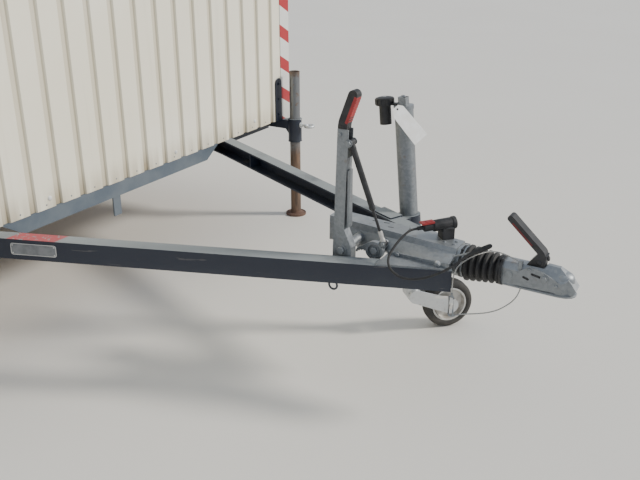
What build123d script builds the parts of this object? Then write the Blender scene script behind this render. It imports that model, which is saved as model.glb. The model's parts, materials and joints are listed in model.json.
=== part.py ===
from build123d import *
from math import atan2, cos, degrees, hypot, pi, radians, sin, tan
import os

os.makedirs("parts", exist_ok=True)

# Construction site wagon on a V drawbar, parked on its road wheels, jockey wheel and four corner props.
# +X runs forward to the coupling, +Y to the wagon's left, +Z up, with z = 0 on the ground.

# Cabin
BODY_LENGTH = 4500.0
BODY_WIDTH = 2180.0
SILL_Z = 460.0
WALL_T = 40.0
FLOOR_T = 50.0
POST_WIDTH = 70.0
POST_T = 3.0
GROOVE_PITCH = 105.0
GROOVE_MOUTH = 30.0
GROOVE_FLOOR = 18.0
GROOVE_DEPTH = 9.0
GROOVE_EDGE_MARGIN = 60.0
ROOF_OVERHANG = 22.0
ROOF_EAVE_H = 45.0
ROOF_CROWN_H = 70.0
ROOF_SKIRT_H = 45.0
ROOF_SKIRT_T = 4.0

# Door in the rear wall
DOOR_WIDTH = 820.0
DOOR_HEIGHT = 1960.0
DOOR_HEADER_H = 68.0
DOOR_GAP = 6.0
DOOR_T = 40.0
DOOR_FRAME_W = 30.0
DOOR_FRAME_PROUD = 6.0
HINGE_R = 9.0
HINGE_LENGTH = 90.0
HINGE_STAND_OFF = 16.0
HINGE_LEAF_T = 4.0
HANDLE_LENGTH = 130.0
HANDLE_ABOVE_FLOOR = 970.0

# Windows in the side walls
WINDOW_WIDTH = 900.0
WINDOW_HEIGHT = 700.0
WINDOW_ABOVE_FLOOR = 910.0
WINDOW_OFFSET = 1180.0
WINDOW_FRAME_W = 45.0
WINDOW_FRAME_PROUD = 8.0
GLASS_T = 6.0

# Chassis
MEMBER_H = 60.0
RAIL_WIDTH = 45.0
RAIL_BEYOND_BEAM = 65.0
SECTION_T = 5.0
OUTRIGGER_INSET = 100.0
OUTRIGGER_TIP_INSET = 30.0
CROSS_MEMBER_COUNT = 4
SILL_DEPTH = 45.0
SILL_H = 52.0
SILL_END_ROOM = 90.0
SILL_END_SLANT = 80.0
SILL_SET_BACK = 6.0

# V drawbar
BEAM_H = 64.0
BEAM_FLANGE = 50.0
BEAM_WEB_T = 6.0
BEAM_FLANGE_T = 7.0
BEAM_WALL_Y = 635.0
BEAM_NOSE_Y = 85.0
BEAM_NOSE_X = 1272.0
BEAM_DROP = 37.0
STIFFENER_T = 6.0
STIFFENER_X = 220.0

# Corner props
PROP_TUBE_R = 24.0
PROP_TUBE_T = 3.0
PROP_AHEAD = 60.0
PROP_INSET = 50.0
PROP_ABOVE_SILL = 224.0
PROP_FOOT_R = 48.0
PROP_FOOT_T = 6.0
PROP_FOOT_LIP = 12.0
COLLAR_BELOW_SILL = 98.0
COLLAR_ABOVE_SILL = 9.0
COLLAR_R = 31.0
COLLAR_GAP = 0.5
ARM_SIZE = 40.0
EYE_BELOW_SILL = 19.0
EYE_R = 17.0
EYE_WIRE_R = 5.0
EYE_SHANK = 36.0

# Axle and road wheels
AXLE_BEHIND_FRONT = 2400.0
TYRE_R = 314.0
TYRE_WIDTH = 190.0
RIM_R = 178.0
RIM_WIDTH = 150.0
RIM_T = 6.0
WHEEL_INSET = 135.0
AXLE_TUBE = 80.0
ARM_LENGTH = 150.0
SWING_ARM_T = 32.0
SPINDLE_R = 18.0
HUB_R = 58.0
HUB_BORE_GAP = 0.08
DRUM_R = 118.0
DRUM_DEPTH = 60.0
BACK_PLATE_T = 8.0
WHEEL_RUN_GAP = 6.0

# Wheel boxes and arches
ARCH_SIDE_ROOM = 81.0
ARCH_TOP_ROOM = 72.0
ARCH_CORNER = 130.0
BOX_T = 3.0
BOX_SIDE_ROOM = 45.0
BOX_ABOVE_ARCH = 40.0

# Overrun device and coupling
COUPLING_BELOW_SILL = 38.0
HOUSING_LENGTH = 410.0
HOUSING_BEHIND_NOSE = 10.0
HOUSING_T = 5.0
HOUSING_FOOT_LENGTH = 188.0
DRAW_TUBE_R = 25.0
BELLOWS_LENGTH = 108.0
BELLOWS_GAP = 22.0
BELLOWS_R = 52.0
BELLOWS_ROOT_R = 42.0
BELLOWS_TAPER = 12.0
BELLOWS_FOLDS = 6
HEAD_LENGTH = 208.0
HEAD_INSIDE_BELLOWS = 4.0
NOSE_BEYOND_BALL = 44.0
BALL_R = 25.0
BALL_BELOW_TUBE = 13.0
SOCKET_GAP = 0.3
HEAD_ABOVE_TUBE = 36.0
HEAD_BELOW_TUBE = 27.0

# Handbrake
LEVER_BEHIND_NOSE = 313.0
LEVER_Y = -138.0
LEVER_ABOVE_SILL = 340.0
LEVER_DEPTH = 30.0
LEVER_T = 3.0
LEVER_NOTCH = 80.0
GRIP_ABOVE_LEVER = 108.0
SECTOR_T = 6.0

# Jockey wheel
JOCKEY_BEHIND_NOSE = 288.0
JOCKEY_STAND_OFF = 62.5
JOCKEY_REF_BELOW_SILL = 70.0
JOCKEY_LEAN = 5.5
JOCKEY_TUBE_R = 30.0
JOCKEY_TUBE_T = 3.0
JOCKEY_LEG_GAP = 0.4
JOCKEY_ABOVE_SILL = 310.0
JOCKEY_TUBE_BELOW_SILL = 125.0
JOCKEY_WHEEL_R = 87.5
JOCKEY_WHEEL_W = 50.0
JOCKEY_TRAIL = 130.0
JOCKEY_TURN = 45.0
JOCKEY_FOOT_ABOVE_HUB = 50.0

# Cables at the coupling
CABLE_R = 3.5
BREAKAWAY_R = 1.75
PLUG_LENGTH = 118.0
PLUG_R = 17.0

# Rear end
STEP_REACH = 270.0
STEP_WIDTH = 700.0
STEP_TREAD = 240.0
STEP_Z = 270.0
STEP_T = 30.0
LAMP_BAR_H = 90.0
LAMP_W = 220.0
LAMP_H = 80.0
LAMP_T = 45.0

# Distances ahead of the front wall
HOUSING_FRONT_X = BEAM_NOSE_X - HOUSING_BEHIND_NOSE
HOUSING_REAR_X = HOUSING_FRONT_X - HOUSING_LENGTH
BELLOWS_REAR_X = HOUSING_FRONT_X + BELLOWS_GAP
BELLOWS_FRONT_X = BELLOWS_REAR_X + BELLOWS_LENGTH
HEAD_REAR_X = BELLOWS_FRONT_X - HEAD_INSIDE_BELLOWS
NOSE_X = HEAD_REAR_X + HEAD_LENGTH
BALL_X = NOSE_X - NOSE_BEYOND_BALL
LEVER_X = BEAM_NOSE_X - LEVER_BEHIND_NOSE
JOCKEY_X = BEAM_NOSE_X - JOCKEY_BEHIND_NOSE

# The origin lies under the middle of the whole wagon, so the front wall stands at FRONT_X.
HALF_WIDTH = BODY_WIDTH / 2
FRONT_X = (BODY_LENGTH + STEP_REACH - NOSE_X) / 2
REAR_X = FRONT_X - BODY_LENGTH
AXLE_X = FRONT_X - AXLE_BEHIND_FRONT
FACE_Y = HALF_WIDTH - POST_T
INNER_Y = FACE_Y - WALL_T
RAIL_INNER_Y = BEAM_WALL_Y + RAIL_BEYOND_BEAM
OUTRIGGER_REACH = HALF_WIDTH - OUTRIGGER_TIP_INSET
PROP_Y = HALF_WIDTH - PROP_INSET
WHEEL_Y = HALF_WIDTH - WHEEL_INSET
BOX_INNER_Y = WHEEL_Y - TYRE_WIDTH / 2 - BOX_SIDE_ROOM

# Heights
FLOOR_Z = SILL_Z + FLOOR_T
DOOR_LOW_Z = FLOOR_Z
DOOR_OPENING_W = DOOR_WIDTH + 2 * DOOR_GAP
DOOR_OPENING_H = DOOR_HEIGHT + 2 * DOOR_GAP
DOOR_WALL_CUT_W = DOOR_OPENING_W + 2 * DOOR_FRAME_W
DOOR_WALL_CUT_H = DOOR_OPENING_H + DOOR_FRAME_W
WALL_TOP_Z = DOOR_LOW_Z + DOOR_WALL_CUT_H + DOOR_HEADER_H
WINDOW_SILL_Z = FLOOR_Z + WINDOW_ABOVE_FLOOR
HANDLE_Z = FLOOR_Z + HANDLE_ABOVE_FLOOR
ARCH_HALF_LENGTH = TYRE_R + ARCH_SIDE_ROOM
ARCH_TOP_Z = 2 * TYRE_R + ARCH_TOP_ROOM
BOX_TOP_Z = ARCH_TOP_Z + BOX_ABOVE_ARCH
PROP_TOP_Z = SILL_Z + PROP_ABOVE_SILL
COLLAR_LOW_Z = SILL_Z - COLLAR_BELOW_SILL
COLLAR_TOP_Z = SILL_Z + COLLAR_ABOVE_SILL
EYE_BOLT_Z = SILL_Z - EYE_BELOW_SILL
COUPLING_Z = SILL_Z - COUPLING_BELOW_SILL
BALL_Z = COUPLING_Z - BALL_BELOW_TUBE
HEAD_TOP_Z = COUPLING_Z + HEAD_ABOVE_TUBE
HEAD_LOW_Z = COUPLING_Z - HEAD_BELOW_TUBE
LEVER_TOP_Z = SILL_Z + LEVER_ABOVE_SILL
GRIP_TOP_Z = LEVER_TOP_Z + GRIP_ABOVE_LEVER
JOCKEY_REF_Z = SILL_Z - JOCKEY_REF_BELOW_SILL
JOCKEY_TOP_Z = SILL_Z + JOCKEY_ABOVE_SILL
JOCKEY_TUBE_LOW_Z = SILL_Z - JOCKEY_TUBE_BELOW_SILL


def beam_outer_y(run):
    """Distance of a beam's outer face from the middle, at a distance ahead of the front wall."""
    return BEAM_WALL_Y - run * (BEAM_WALL_Y - BEAM_NOSE_Y) / BEAM_NOSE_X


JOCKEY_Y = beam_outer_y(JOCKEY_X) + JOCKEY_STAND_OFF


def write_piece(piece, label):
    """Name a finished piece and write it to its own file."""
    piece.part.label = label
    export_step(piece.part, f"parts/{label}.step")


def groove_centres(span):
    """Places of the grooves along a sheet of the given width, evenly pitched about its middle."""
    usable = span - 2 * GROOVE_EDGE_MARGIN
    count = int(usable // GROOVE_PITCH) + 1
    first = -(count - 1) * GROOVE_PITCH / 2
    return [first + index * GROOVE_PITCH for index in range(count)]


def grooved_slab(length, thickness, sheet_span, height):
    """A panel along local X, its inner face on y = thickness and its grooved sheet on y = 0."""
    half_mouth = GROOVE_MOUTH / 2
    half_floor = GROOVE_FLOOR / 2
    with BuildPart() as slab:
        with BuildSketch():
            Rectangle(length, thickness, align=(Align.CENTER, Align.MIN))
            with Locations(*[(x, 0) for x in groove_centres(sheet_span)]):
                Polygon(
                    (-half_mouth, 0),
                    (half_mouth, 0),
                    (half_floor, GROOVE_DEPTH),
                    (-half_floor, GROOVE_DEPTH),
                    align=None,
                    mode=Mode.SUBTRACT,
                )
        extrude(amount=height)
    return slab.part


def channel(length, width, height, wall):
    """A channel section along local X, open towards +Y, its web on y = 0 and its middle at the origin."""
    with BuildPart() as section:
        with BuildSketch(Plane.YZ.offset(-length / 2)):
            Rectangle(width, height, align=(Align.MIN, Align.CENTER))
            with Locations((wall, 0)):
                Rectangle(width, height - 2 * wall, align=(Align.MIN, Align.CENTER), mode=Mode.SUBTRACT)
        extrude(amount=length)
    return section.part


# Walls
SHEET_SPAN = BODY_WIDTH - 2 * POST_WIDTH
SIDE_SHEET_SPAN = BODY_LENGTH - 2 * POST_WIDTH
WALL_H = WALL_TOP_Z - SILL_Z
END_WALL_WIDTH = 2 * INNER_Y

with BuildPart() as front_wall:
    with Locations(Location((FRONT_X - POST_T, 0, SILL_Z), (0, 0, 90))):
        add(grooved_slab(END_WALL_WIDTH, WALL_T, SHEET_SPAN, WALL_H))
write_piece(front_wall, "front_wall")

with BuildPart() as rear_wall:
    with Locations(Location((REAR_X + POST_T, 0, SILL_Z), (0, 0, -90))):
        add(grooved_slab(END_WALL_WIDTH, WALL_T, SHEET_SPAN, WALL_H))
    with BuildSketch(Plane.XY.offset(DOOR_LOW_Z)):
        with Locations((REAR_X, 0)):
            Rectangle(3 * WALL_T, DOOR_WALL_CUT_W)
    extrude(amount=DOOR_WALL_CUT_H, mode=Mode.SUBTRACT)
write_piece(rear_wall, "rear_wall")

# Door frame lining the cut on three sides, and the leaf that fills it
REAR_FACE_X = REAR_X + POST_T
REAR_INNER_X = REAR_FACE_X + WALL_T
with BuildPart() as door_frame:
    with BuildSketch(Plane.YZ.offset(REAR_INNER_X)):
        with Locations((0, DOOR_LOW_Z)):
            Rectangle(DOOR_WALL_CUT_W, DOOR_WALL_CUT_H, align=(Align.CENTER, Align.MIN))
            Rectangle(DOOR_OPENING_W, DOOR_OPENING_H, align=(Align.CENTER, Align.MIN), mode=Mode.SUBTRACT)
    extrude(amount=-(WALL_T + DOOR_FRAME_PROUD))
write_piece(door_frame, "door_frame")

DOOR_FACE_X = REAR_FACE_X - DOOR_FRAME_PROUD
with BuildPart() as door_leaf:
    with Locations(Location((DOOR_FACE_X, 0, DOOR_LOW_Z + DOOR_GAP), (0, 0, -90))):
        add(grooved_slab(DOOR_WIDTH, DOOR_T, DOOR_WIDTH, DOOR_HEIGHT))
write_piece(door_leaf, "door_leaf")

# Hinges: the lower knuckle and pin stay on the frame, the upper knuckle swings with the leaf.
HINGE_X = DOOR_FACE_X - HINGE_STAND_OFF + HINGE_LEAF_T
HINGE_Y = DOOR_OPENING_W / 2 - DOOR_GAP / 2
HINGE_SHARES = (0.12, 0.5, 0.88)
HINGE_ZS = [DOOR_LOW_Z + DOOR_HEIGHT * share for share in HINGE_SHARES]
KNUCKLE_H = HINGE_LENGTH / 2
PIN_R = HINGE_R / 2
PIN_GAP = 0.05
LEAF_PLATE_W = DOOR_FRAME_W
with BuildPart() as hinge_frame_half:
    for z in HINGE_ZS:
        with BuildSketch(Plane.XY.offset(z - KNUCKLE_H)):
            with Locations((HINGE_X, HINGE_Y)):
                Circle(HINGE_R)
            with Locations((DOOR_FACE_X, HINGE_Y)):
                Rectangle(HINGE_LEAF_T, LEAF_PLATE_W, align=(Align.MAX, Align.MIN))
        extrude(amount=KNUCKLE_H)
        with BuildSketch(Plane.XY.offset(z)):
            with Locations((HINGE_X, HINGE_Y)):
                Circle(PIN_R)
        extrude(amount=KNUCKLE_H)
write_piece(hinge_frame_half, "hinge_frame_half")

with BuildPart() as hinge_door_half:
    for z in HINGE_ZS:
        with BuildSketch(Plane.XY.offset(z + SOCKET_GAP)):
            with Locations((HINGE_X, HINGE_Y)):
                Circle(HINGE_R)
            with Locations((DOOR_FACE_X, HINGE_Y)):
                Rectangle(HINGE_LEAF_T, LEAF_PLATE_W, align=(Align.MAX, Align.MAX))
            with Locations((HINGE_X, HINGE_Y)):
                Circle(PIN_R + PIN_GAP, mode=Mode.SUBTRACT)
        extrude(amount=KNUCKLE_H)
write_piece(hinge_door_half, "hinge_door_half")

HANDLE_EDGE_ROOM = 60.0
HANDLE_Y = HANDLE_EDGE_ROOM - DOOR_WIDTH / 2
HANDLE_PLATE = (36.0, 200.0, 8.0)
HANDLE_BAR_R = 9.0
HANDLE_STAND_OFF = 48.0
with BuildPart() as door_handle:
    with BuildSketch(Plane.YZ.offset(DOOR_FACE_X)):
        with Locations((HANDLE_Y, HANDLE_Z)):
            RectangleRounded(HANDLE_PLATE[0], HANDLE_PLATE[1], HANDLE_PLATE[2])
    extrude(amount=-HANDLE_PLATE[2])
    with BuildSketch(Plane.YZ.offset(DOOR_FACE_X)):
        with Locations((HANDLE_Y, HANDLE_Z)):
            Circle(HANDLE_BAR_R)
    extrude(amount=-HANDLE_STAND_OFF)
    with BuildSketch(Plane.XZ.offset(-HANDLE_Y + HANDLE_BAR_R)):
        with Locations((DOOR_FACE_X - HANDLE_STAND_OFF, HANDLE_Z)):
            Circle(HANDLE_BAR_R)
    extrude(amount=-HANDLE_LENGTH)
write_piece(door_handle, "door_handle")

WINDOW_CENTRES = (FRONT_X - WINDOW_OFFSET, REAR_X + WINDOW_OFFSET)
WINDOW_MID_Z = WINDOW_SILL_Z + WINDOW_HEIGHT / 2

for side_name, side in (("left", 1), ("right", -1)):
    turn = 180 if side > 0 else 0
    with BuildPart() as side_wall:
        with Locations(Location(((FRONT_X + REAR_X) / 2, side * FACE_Y, SILL_Z), (0, 0, turn))):
            add(grooved_slab(BODY_LENGTH - 2 * POST_T, WALL_T, SIDE_SHEET_SPAN, WALL_H))
        with BuildSketch(Plane.XZ.offset(-side * FACE_Y)):
            with Locations(*[(x, WINDOW_MID_Z) for x in WINDOW_CENTRES]):
                Rectangle(WINDOW_WIDTH, WINDOW_HEIGHT)
            with Locations((AXLE_X, 0)):
                Polygon(
                    (-ARCH_HALF_LENGTH, 0),
                    (-ARCH_HALF_LENGTH, ARCH_TOP_Z - ARCH_CORNER),
                    (ARCH_CORNER - ARCH_HALF_LENGTH, ARCH_TOP_Z),
                    (ARCH_HALF_LENGTH - ARCH_CORNER, ARCH_TOP_Z),
                    (ARCH_HALF_LENGTH, ARCH_TOP_Z - ARCH_CORNER),
                    (ARCH_HALF_LENGTH, 0),
                    align=None,
                )
        extrude(amount=2 * WALL_T, both=True, mode=Mode.SUBTRACT)
    write_piece(side_wall, f"{side_name}_wall")

    # Window frames stand a little proud of the sheet and line the cut edges.
    with BuildPart() as window_frames:
        with BuildSketch(Plane.XZ.offset(-side * INNER_Y)):
            with Locations(*[(x, WINDOW_MID_Z) for x in WINDOW_CENTRES]):
                Rectangle(WINDOW_WIDTH, WINDOW_HEIGHT)
                Rectangle(
                    WINDOW_WIDTH - 2 * WINDOW_FRAME_W,
                    WINDOW_HEIGHT - 2 * WINDOW_FRAME_W,
                    mode=Mode.SUBTRACT,
                )
        extrude(amount=-side * (WALL_T + WINDOW_FRAME_PROUD))
    write_piece(window_frames, f"window_frames_{side_name}")

    with BuildPart() as window_panes:
        with BuildSketch(Plane.XZ.offset(-side * (INNER_Y + WALL_T / 2))):
            with Locations(*[(x, WINDOW_MID_Z) for x in WINDOW_CENTRES]):
                Rectangle(WINDOW_WIDTH - 2 * WINDOW_FRAME_W, WINDOW_HEIGHT - 2 * WINDOW_FRAME_W)
        extrude(amount=GLASS_T / 2, both=True)
    write_piece(window_panes, f"window_panes_{side_name}")

# Corner posts: angle sections over the four corners of the walls
with BuildPart() as corner_posts:
    with BuildSketch(Plane.XY.offset(SILL_Z)):
        for x, x_sign in ((FRONT_X, 1), (REAR_X, -1)):
            for y_sign in (1, -1):
                with Locations((x, y_sign * HALF_WIDTH)):
                    Polygon(
                        (0, 0),
                        (-x_sign * POST_WIDTH, 0),
                        (-x_sign * POST_WIDTH, -y_sign * POST_T),
                        (-x_sign * POST_T, -y_sign * POST_T),
                        (-x_sign * POST_T, -y_sign * POST_WIDTH),
                        (0, -y_sign * POST_WIDTH),
                        align=None,
                    )
    extrude(amount=WALL_H)
write_piece(corner_posts, "corner_posts")

# Roof: a flat ceiling under a shallow arch, with a folded skirt outside the walls
ROOF_LENGTH = BODY_LENGTH + 2 * ROOF_OVERHANG
ROOF_HALF = HALF_WIDTH + ROOF_OVERHANG
with BuildPart() as roof:
    with BuildSketch(Plane.YZ.offset(REAR_X - ROOF_OVERHANG)):
        with BuildLine():
            eave_z = WALL_TOP_Z + ROOF_EAVE_H
            Line((-ROOF_HALF, eave_z), (-ROOF_HALF, WALL_TOP_Z))
            Line((-ROOF_HALF, WALL_TOP_Z), (ROOF_HALF, WALL_TOP_Z))
            Line((ROOF_HALF, WALL_TOP_Z), (ROOF_HALF, eave_z))
            ThreePointArc((ROOF_HALF, eave_z), (0, eave_z + ROOF_CROWN_H), (-ROOF_HALF, eave_z))
        make_face()
    extrude(amount=ROOF_LENGTH)
    with BuildSketch(Plane.XY.offset(WALL_TOP_Z)):
        with Locations(((FRONT_X + REAR_X) / 2, 0)):
            Rectangle(ROOF_LENGTH, 2 * ROOF_HALF)
            Rectangle(ROOF_LENGTH - 2 * ROOF_SKIRT_T, 2 * (ROOF_HALF - ROOF_SKIRT_T), mode=Mode.SUBTRACT)
    extrude(amount=-ROOF_SKIRT_H)
write_piece(roof, "roof")

# Floor, cut out over the road wheels
FLOOR_LENGTH = BODY_LENGTH - 2 * (POST_T + WALL_T)
BOX_HALF_LENGTH = ARCH_HALF_LENGTH + BOX_T
with BuildPart() as floor_panel:
    with BuildSketch(Plane.XY.offset(SILL_Z)):
        with Locations(((FRONT_X + REAR_X) / 2, 0)):
            Rectangle(FLOOR_LENGTH, 2 * INNER_Y)
        with Locations((AXLE_X, (BOX_INNER_Y + HALF_WIDTH) / 2), (AXLE_X, -(BOX_INNER_Y + HALF_WIDTH) / 2)):
            Rectangle(2 * BOX_HALF_LENGTH, HALF_WIDTH - BOX_INNER_Y, mode=Mode.SUBTRACT)
    extrude(amount=FLOOR_T)
write_piece(floor_panel, "floor_panel")

with BuildPart() as wheel_boxes:
    for side in (1, -1):
        with BuildSketch(Plane.XY.offset(SILL_Z)):
            with Locations((AXLE_X, side * (BOX_INNER_Y + INNER_Y) / 2)):
                Rectangle(2 * BOX_HALF_LENGTH, INNER_Y - BOX_INNER_Y)
        extrude(amount=BOX_TOP_Z - SILL_Z)
        with BuildSketch(Plane.XY.offset(SILL_Z)):
            with Locations((AXLE_X, side * (BOX_INNER_Y + BOX_T + HALF_WIDTH) / 2)):
                Rectangle(2 * ARCH_HALF_LENGTH, HALF_WIDTH - BOX_INNER_Y - BOX_T)
        extrude(amount=BOX_TOP_Z - BOX_T - SILL_Z, mode=Mode.SUBTRACT)
write_piece(wheel_boxes, "wheel_boxes")

# Chassis: two rails with full-width cross-members and outriggers, all flush under the floor
MEMBER_MID_Z = SILL_Z - MEMBER_H / 2
RAIL_FRONT_X = FRONT_X - OUTRIGGER_INSET
RAIL_REAR_X = REAR_X + OUTRIGGER_INSET
RAIL_LENGTH = RAIL_FRONT_X - RAIL_REAR_X
RAIL_OUTER_Y = RAIL_INNER_Y + RAIL_WIDTH
with BuildPart() as chassis_rails:
    for side, turn in ((1, 180), (-1, 0)):
        place = Location(((RAIL_FRONT_X + RAIL_REAR_X) / 2, side * RAIL_OUTER_Y, MEMBER_MID_Z), (0, 0, turn))
        with Locations(place):
            add(channel(RAIL_LENGTH, RAIL_WIDTH, MEMBER_H, SECTION_T))
write_piece(chassis_rails, "chassis_rails")

CROSS_FIRST_X = RAIL_FRONT_X - RAIL_LENGTH / CROSS_MEMBER_COUNT
CROSS_LAST_X = RAIL_REAR_X + RAIL_WIDTH
CROSS_STEP = (CROSS_FIRST_X - CROSS_LAST_X) / (CROSS_MEMBER_COUNT - 1)
CROSS_XS = [CROSS_FIRST_X - index * CROSS_STEP for index in range(CROSS_MEMBER_COUNT)]
with BuildPart() as cross_members:
    for x in CROSS_XS:
        with Locations(Location((x, 0, MEMBER_MID_Z), (0, 0, 90))):
            add(channel(2 * RAIL_INNER_Y, RAIL_WIDTH, MEMBER_H, SECTION_T))
write_piece(cross_members, "cross_members")

# Outriggers carry the wall feet beyond the rails; the first and last pairs also carry the prop arms.
OUTRIGGER_XS = [RAIL_FRONT_X, CROSS_XS[0], CROSS_XS[-2] - RAIL_WIDTH, RAIL_REAR_X + RAIL_WIDTH]
OUTRIGGER_LENGTH = OUTRIGGER_REACH - RAIL_OUTER_Y
with BuildPart() as outriggers:
    for x in OUTRIGGER_XS:
        for side in (1, -1):
            middle_y = side * (RAIL_OUTER_Y + OUTRIGGER_LENGTH / 2)
            with Locations(Location((x, middle_y, MEMBER_MID_Z), (0, 0, 90))):
                add(channel(OUTRIGGER_LENGTH, RAIL_WIDTH, MEMBER_H, SECTION_T))
write_piece(outriggers, "outriggers")

# Drawbar: channels with their open side inward, level under the floor and then falling to the nose
BEAM_RUN = hypot(BEAM_NOSE_X, BEAM_WALL_Y - BEAM_NOSE_Y)
BEAM_ANGLE = degrees(atan2(BEAM_WALL_Y - BEAM_NOSE_Y, BEAM_NOSE_X))
BEAM_COS = cos(radians(BEAM_ANGLE))
BEAM_SIN = sin(radians(BEAM_ANGLE))
BEAM_TAIL = (RAIL_INNER_Y - BEAM_WALL_Y + BEAM_FLANGE) / BEAM_SIN
BEAM_PLANE = Plane(
    origin=(FRONT_X, BEAM_WALL_Y, 0),
    x_dir=(BEAM_COS, -BEAM_SIN, 0),
    z_dir=(-BEAM_SIN, -BEAM_COS, 0),
)


def beam_top(run):
    """Height of a drawbar beam's top at a distance ahead of the wall, along the beam."""
    return SILL_Z - max(run, 0) * BEAM_DROP / BEAM_RUN


def beam_side(top_inset, low_inset):
    """Side outline of a beam in its own plane, its top and its underside moved inward."""
    corners = (
        (-BEAM_TAIL, SILL_Z - top_inset),
        (0, SILL_Z - top_inset),
        (BEAM_RUN, beam_top(BEAM_RUN) - top_inset),
        (BEAM_RUN, beam_top(BEAM_RUN) - BEAM_H + low_inset),
        (0, SILL_Z - BEAM_H + low_inset),
        (-BEAM_TAIL, SILL_Z - BEAM_H + low_inset),
    )
    return Polygon(*corners, align=None, mode=Mode.PRIVATE)


with BuildPart() as drawbar_beam_left:
    with BuildSketch(BEAM_PLANE):
        add(beam_side(0, 0))
    extrude(amount=BEAM_FLANGE)
    with BuildSketch(BEAM_PLANE.offset(BEAM_WEB_T)):
        add(beam_side(BEAM_FLANGE_T, BEAM_FLANGE_T))
    extrude(amount=BEAM_FLANGE, mode=Mode.SUBTRACT)
    # Stiffener plate closing the channel a little way ahead of the wall
    with BuildSketch(BEAM_PLANE.offset(BEAM_WEB_T)):
        with Locations((STIFFENER_X, beam_top(STIFFENER_X) - BEAM_H / 2)):
            Rectangle(STIFFENER_T, BEAM_H - BEAM_FLANGE_T)
    extrude(amount=BEAM_FLANGE - BEAM_WEB_T)
    # The tail is mitred against the inner face of the chassis rail.
    with BuildSketch():
        with Locations((FRONT_X, RAIL_INNER_Y)):
            Rectangle(2 * BEAM_TAIL, 2 * BEAM_TAIL, align=(Align.CENTER, Align.MIN))
    extrude(amount=SILL_Z, mode=Mode.SUBTRACT)
write_piece(drawbar_beam_left, "drawbar_beam_left")

# The right beam also carries a wire ring under its flange.
RING_X = 960.0
RING_R = 13.0
RING_WIRE_R = 3.0
RING_FROM_WEB = 18.0
ring_top_z = beam_top(RING_X / BEAM_COS) - BEAM_H
with BuildPart() as drawbar_beam_right:
    mirror(drawbar_beam_left.part, about=Plane.XZ)
    with Locations((FRONT_X + RING_X, RING_FROM_WEB - beam_outer_y(RING_X), ring_top_z - RING_R)):
        Torus(RING_R, RING_WIRE_R, rotation=(90, 0, 0))
write_piece(drawbar_beam_right, "drawbar_beam_right")

# Front sill: a folded channel between the beams, its ends cut on a slant, with a lug under its middle
SILL_FACE_X = FRONT_X - SILL_SET_BACK
SILL_HALF_TOP = BEAM_WALL_Y - SILL_END_ROOM
SILL_LOW_Z = SILL_Z - SILL_H
LUG_Y = -52.0
LUG_W = 36.0
LUG_H = 72.0
with BuildPart() as front_sill:
    with BuildSketch(Plane.YZ.offset(SILL_FACE_X)):
        Polygon(
            (-SILL_HALF_TOP, SILL_Z),
            (SILL_HALF_TOP, SILL_Z),
            (SILL_HALF_TOP - SILL_END_SLANT, SILL_LOW_Z),
            (SILL_END_SLANT - SILL_HALF_TOP, SILL_LOW_Z),
            align=None,
        )
    extrude(amount=-SILL_DEPTH)
    with BuildSketch(Plane.YZ.offset(SILL_FACE_X - SECTION_T)):
        with Locations((0, (SILL_Z + SILL_LOW_Z) / 2)):
            Rectangle(2 * BEAM_WALL_Y, SILL_H - 2 * SECTION_T)
    extrude(amount=-SILL_DEPTH, mode=Mode.SUBTRACT)
    with BuildSketch(Plane.YZ.offset(SILL_FACE_X - SECTION_T)):
        with Locations((LUG_Y, SILL_LOW_Z + SECTION_T)):
            Rectangle(LUG_W, LUG_H + SECTION_T, align=(Align.CENTER, Align.MAX))
    extrude(amount=-STIFFENER_T)
write_piece(front_sill, "front_sill")

# Corner props: a plain tube with a dished foot slides in a collar on the end of each arm.
COLLAR_BORE_R = PROP_TUBE_R + COLLAR_GAP
ARM_TOP_Z = SILL_Z
FRONT_PROP_X = FRONT_X + PROP_AHEAD
REAR_PROP_X = REAR_X - PROP_AHEAD
PROPS = (
    ("front_left", FRONT_PROP_X, 1, 1),
    ("front_right", FRONT_PROP_X, -1, 1),
    ("rear_left", REAR_PROP_X, 1, -1),
    ("rear_right", REAR_PROP_X, -1, -1),
)
with BuildPart() as prop_collars:
    for prop_name, x, side, end in PROPS:
        arm_length = PROP_AHEAD + OUTRIGGER_INSET
        with BuildSketch(Plane.XY.offset(ARM_TOP_Z)):
            with Locations((x - end * arm_length / 2, side * PROP_Y)):
                Rectangle(arm_length, ARM_SIZE)
        extrude(amount=-ARM_SIZE)
        with BuildSketch(Plane.XY.offset(COLLAR_LOW_Z)):
            with Locations((x, side * PROP_Y)):
                Circle(COLLAR_R)
        extrude(amount=COLLAR_TOP_Z - COLLAR_LOW_Z)
        with BuildSketch(Plane.XZ.offset(-side * PROP_Y)):
            Polygon(
                (x - end * COLLAR_R / 2, ARM_TOP_Z - ARM_SIZE / 2),
                (x - end * COLLAR_R / 2, COLLAR_LOW_Z + ARM_SIZE / 4),
                (x - end * (COLLAR_R + ARM_SIZE), ARM_TOP_Z - ARM_SIZE / 2),
                align=None,
            )
        extrude(amount=STIFFENER_T / 2, both=True)
        # Eye bolt that clamps the tube, its shank running outward from the collar
        with BuildSketch(Plane.YZ.offset(x + end * PROP_TUBE_R)):
            with Locations((side * PROP_Y, EYE_BOLT_Z)):
                Circle(EYE_WIRE_R)
        extrude(amount=end * EYE_SHANK)
        eye_x = x + end * (PROP_TUBE_R + EYE_SHANK + EYE_R)
        with Locations(Location((eye_x, side * PROP_Y, EYE_BOLT_Z))):
            Torus(EYE_R, EYE_WIRE_R)
        with BuildSketch(Plane.XY.offset(COLLAR_LOW_Z)):
            with Locations((x, side * PROP_Y)):
                Circle(COLLAR_BORE_R)
        extrude(amount=COLLAR_TOP_Z - COLLAR_LOW_Z, mode=Mode.SUBTRACT)
write_piece(prop_collars, "prop_collars")

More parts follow.
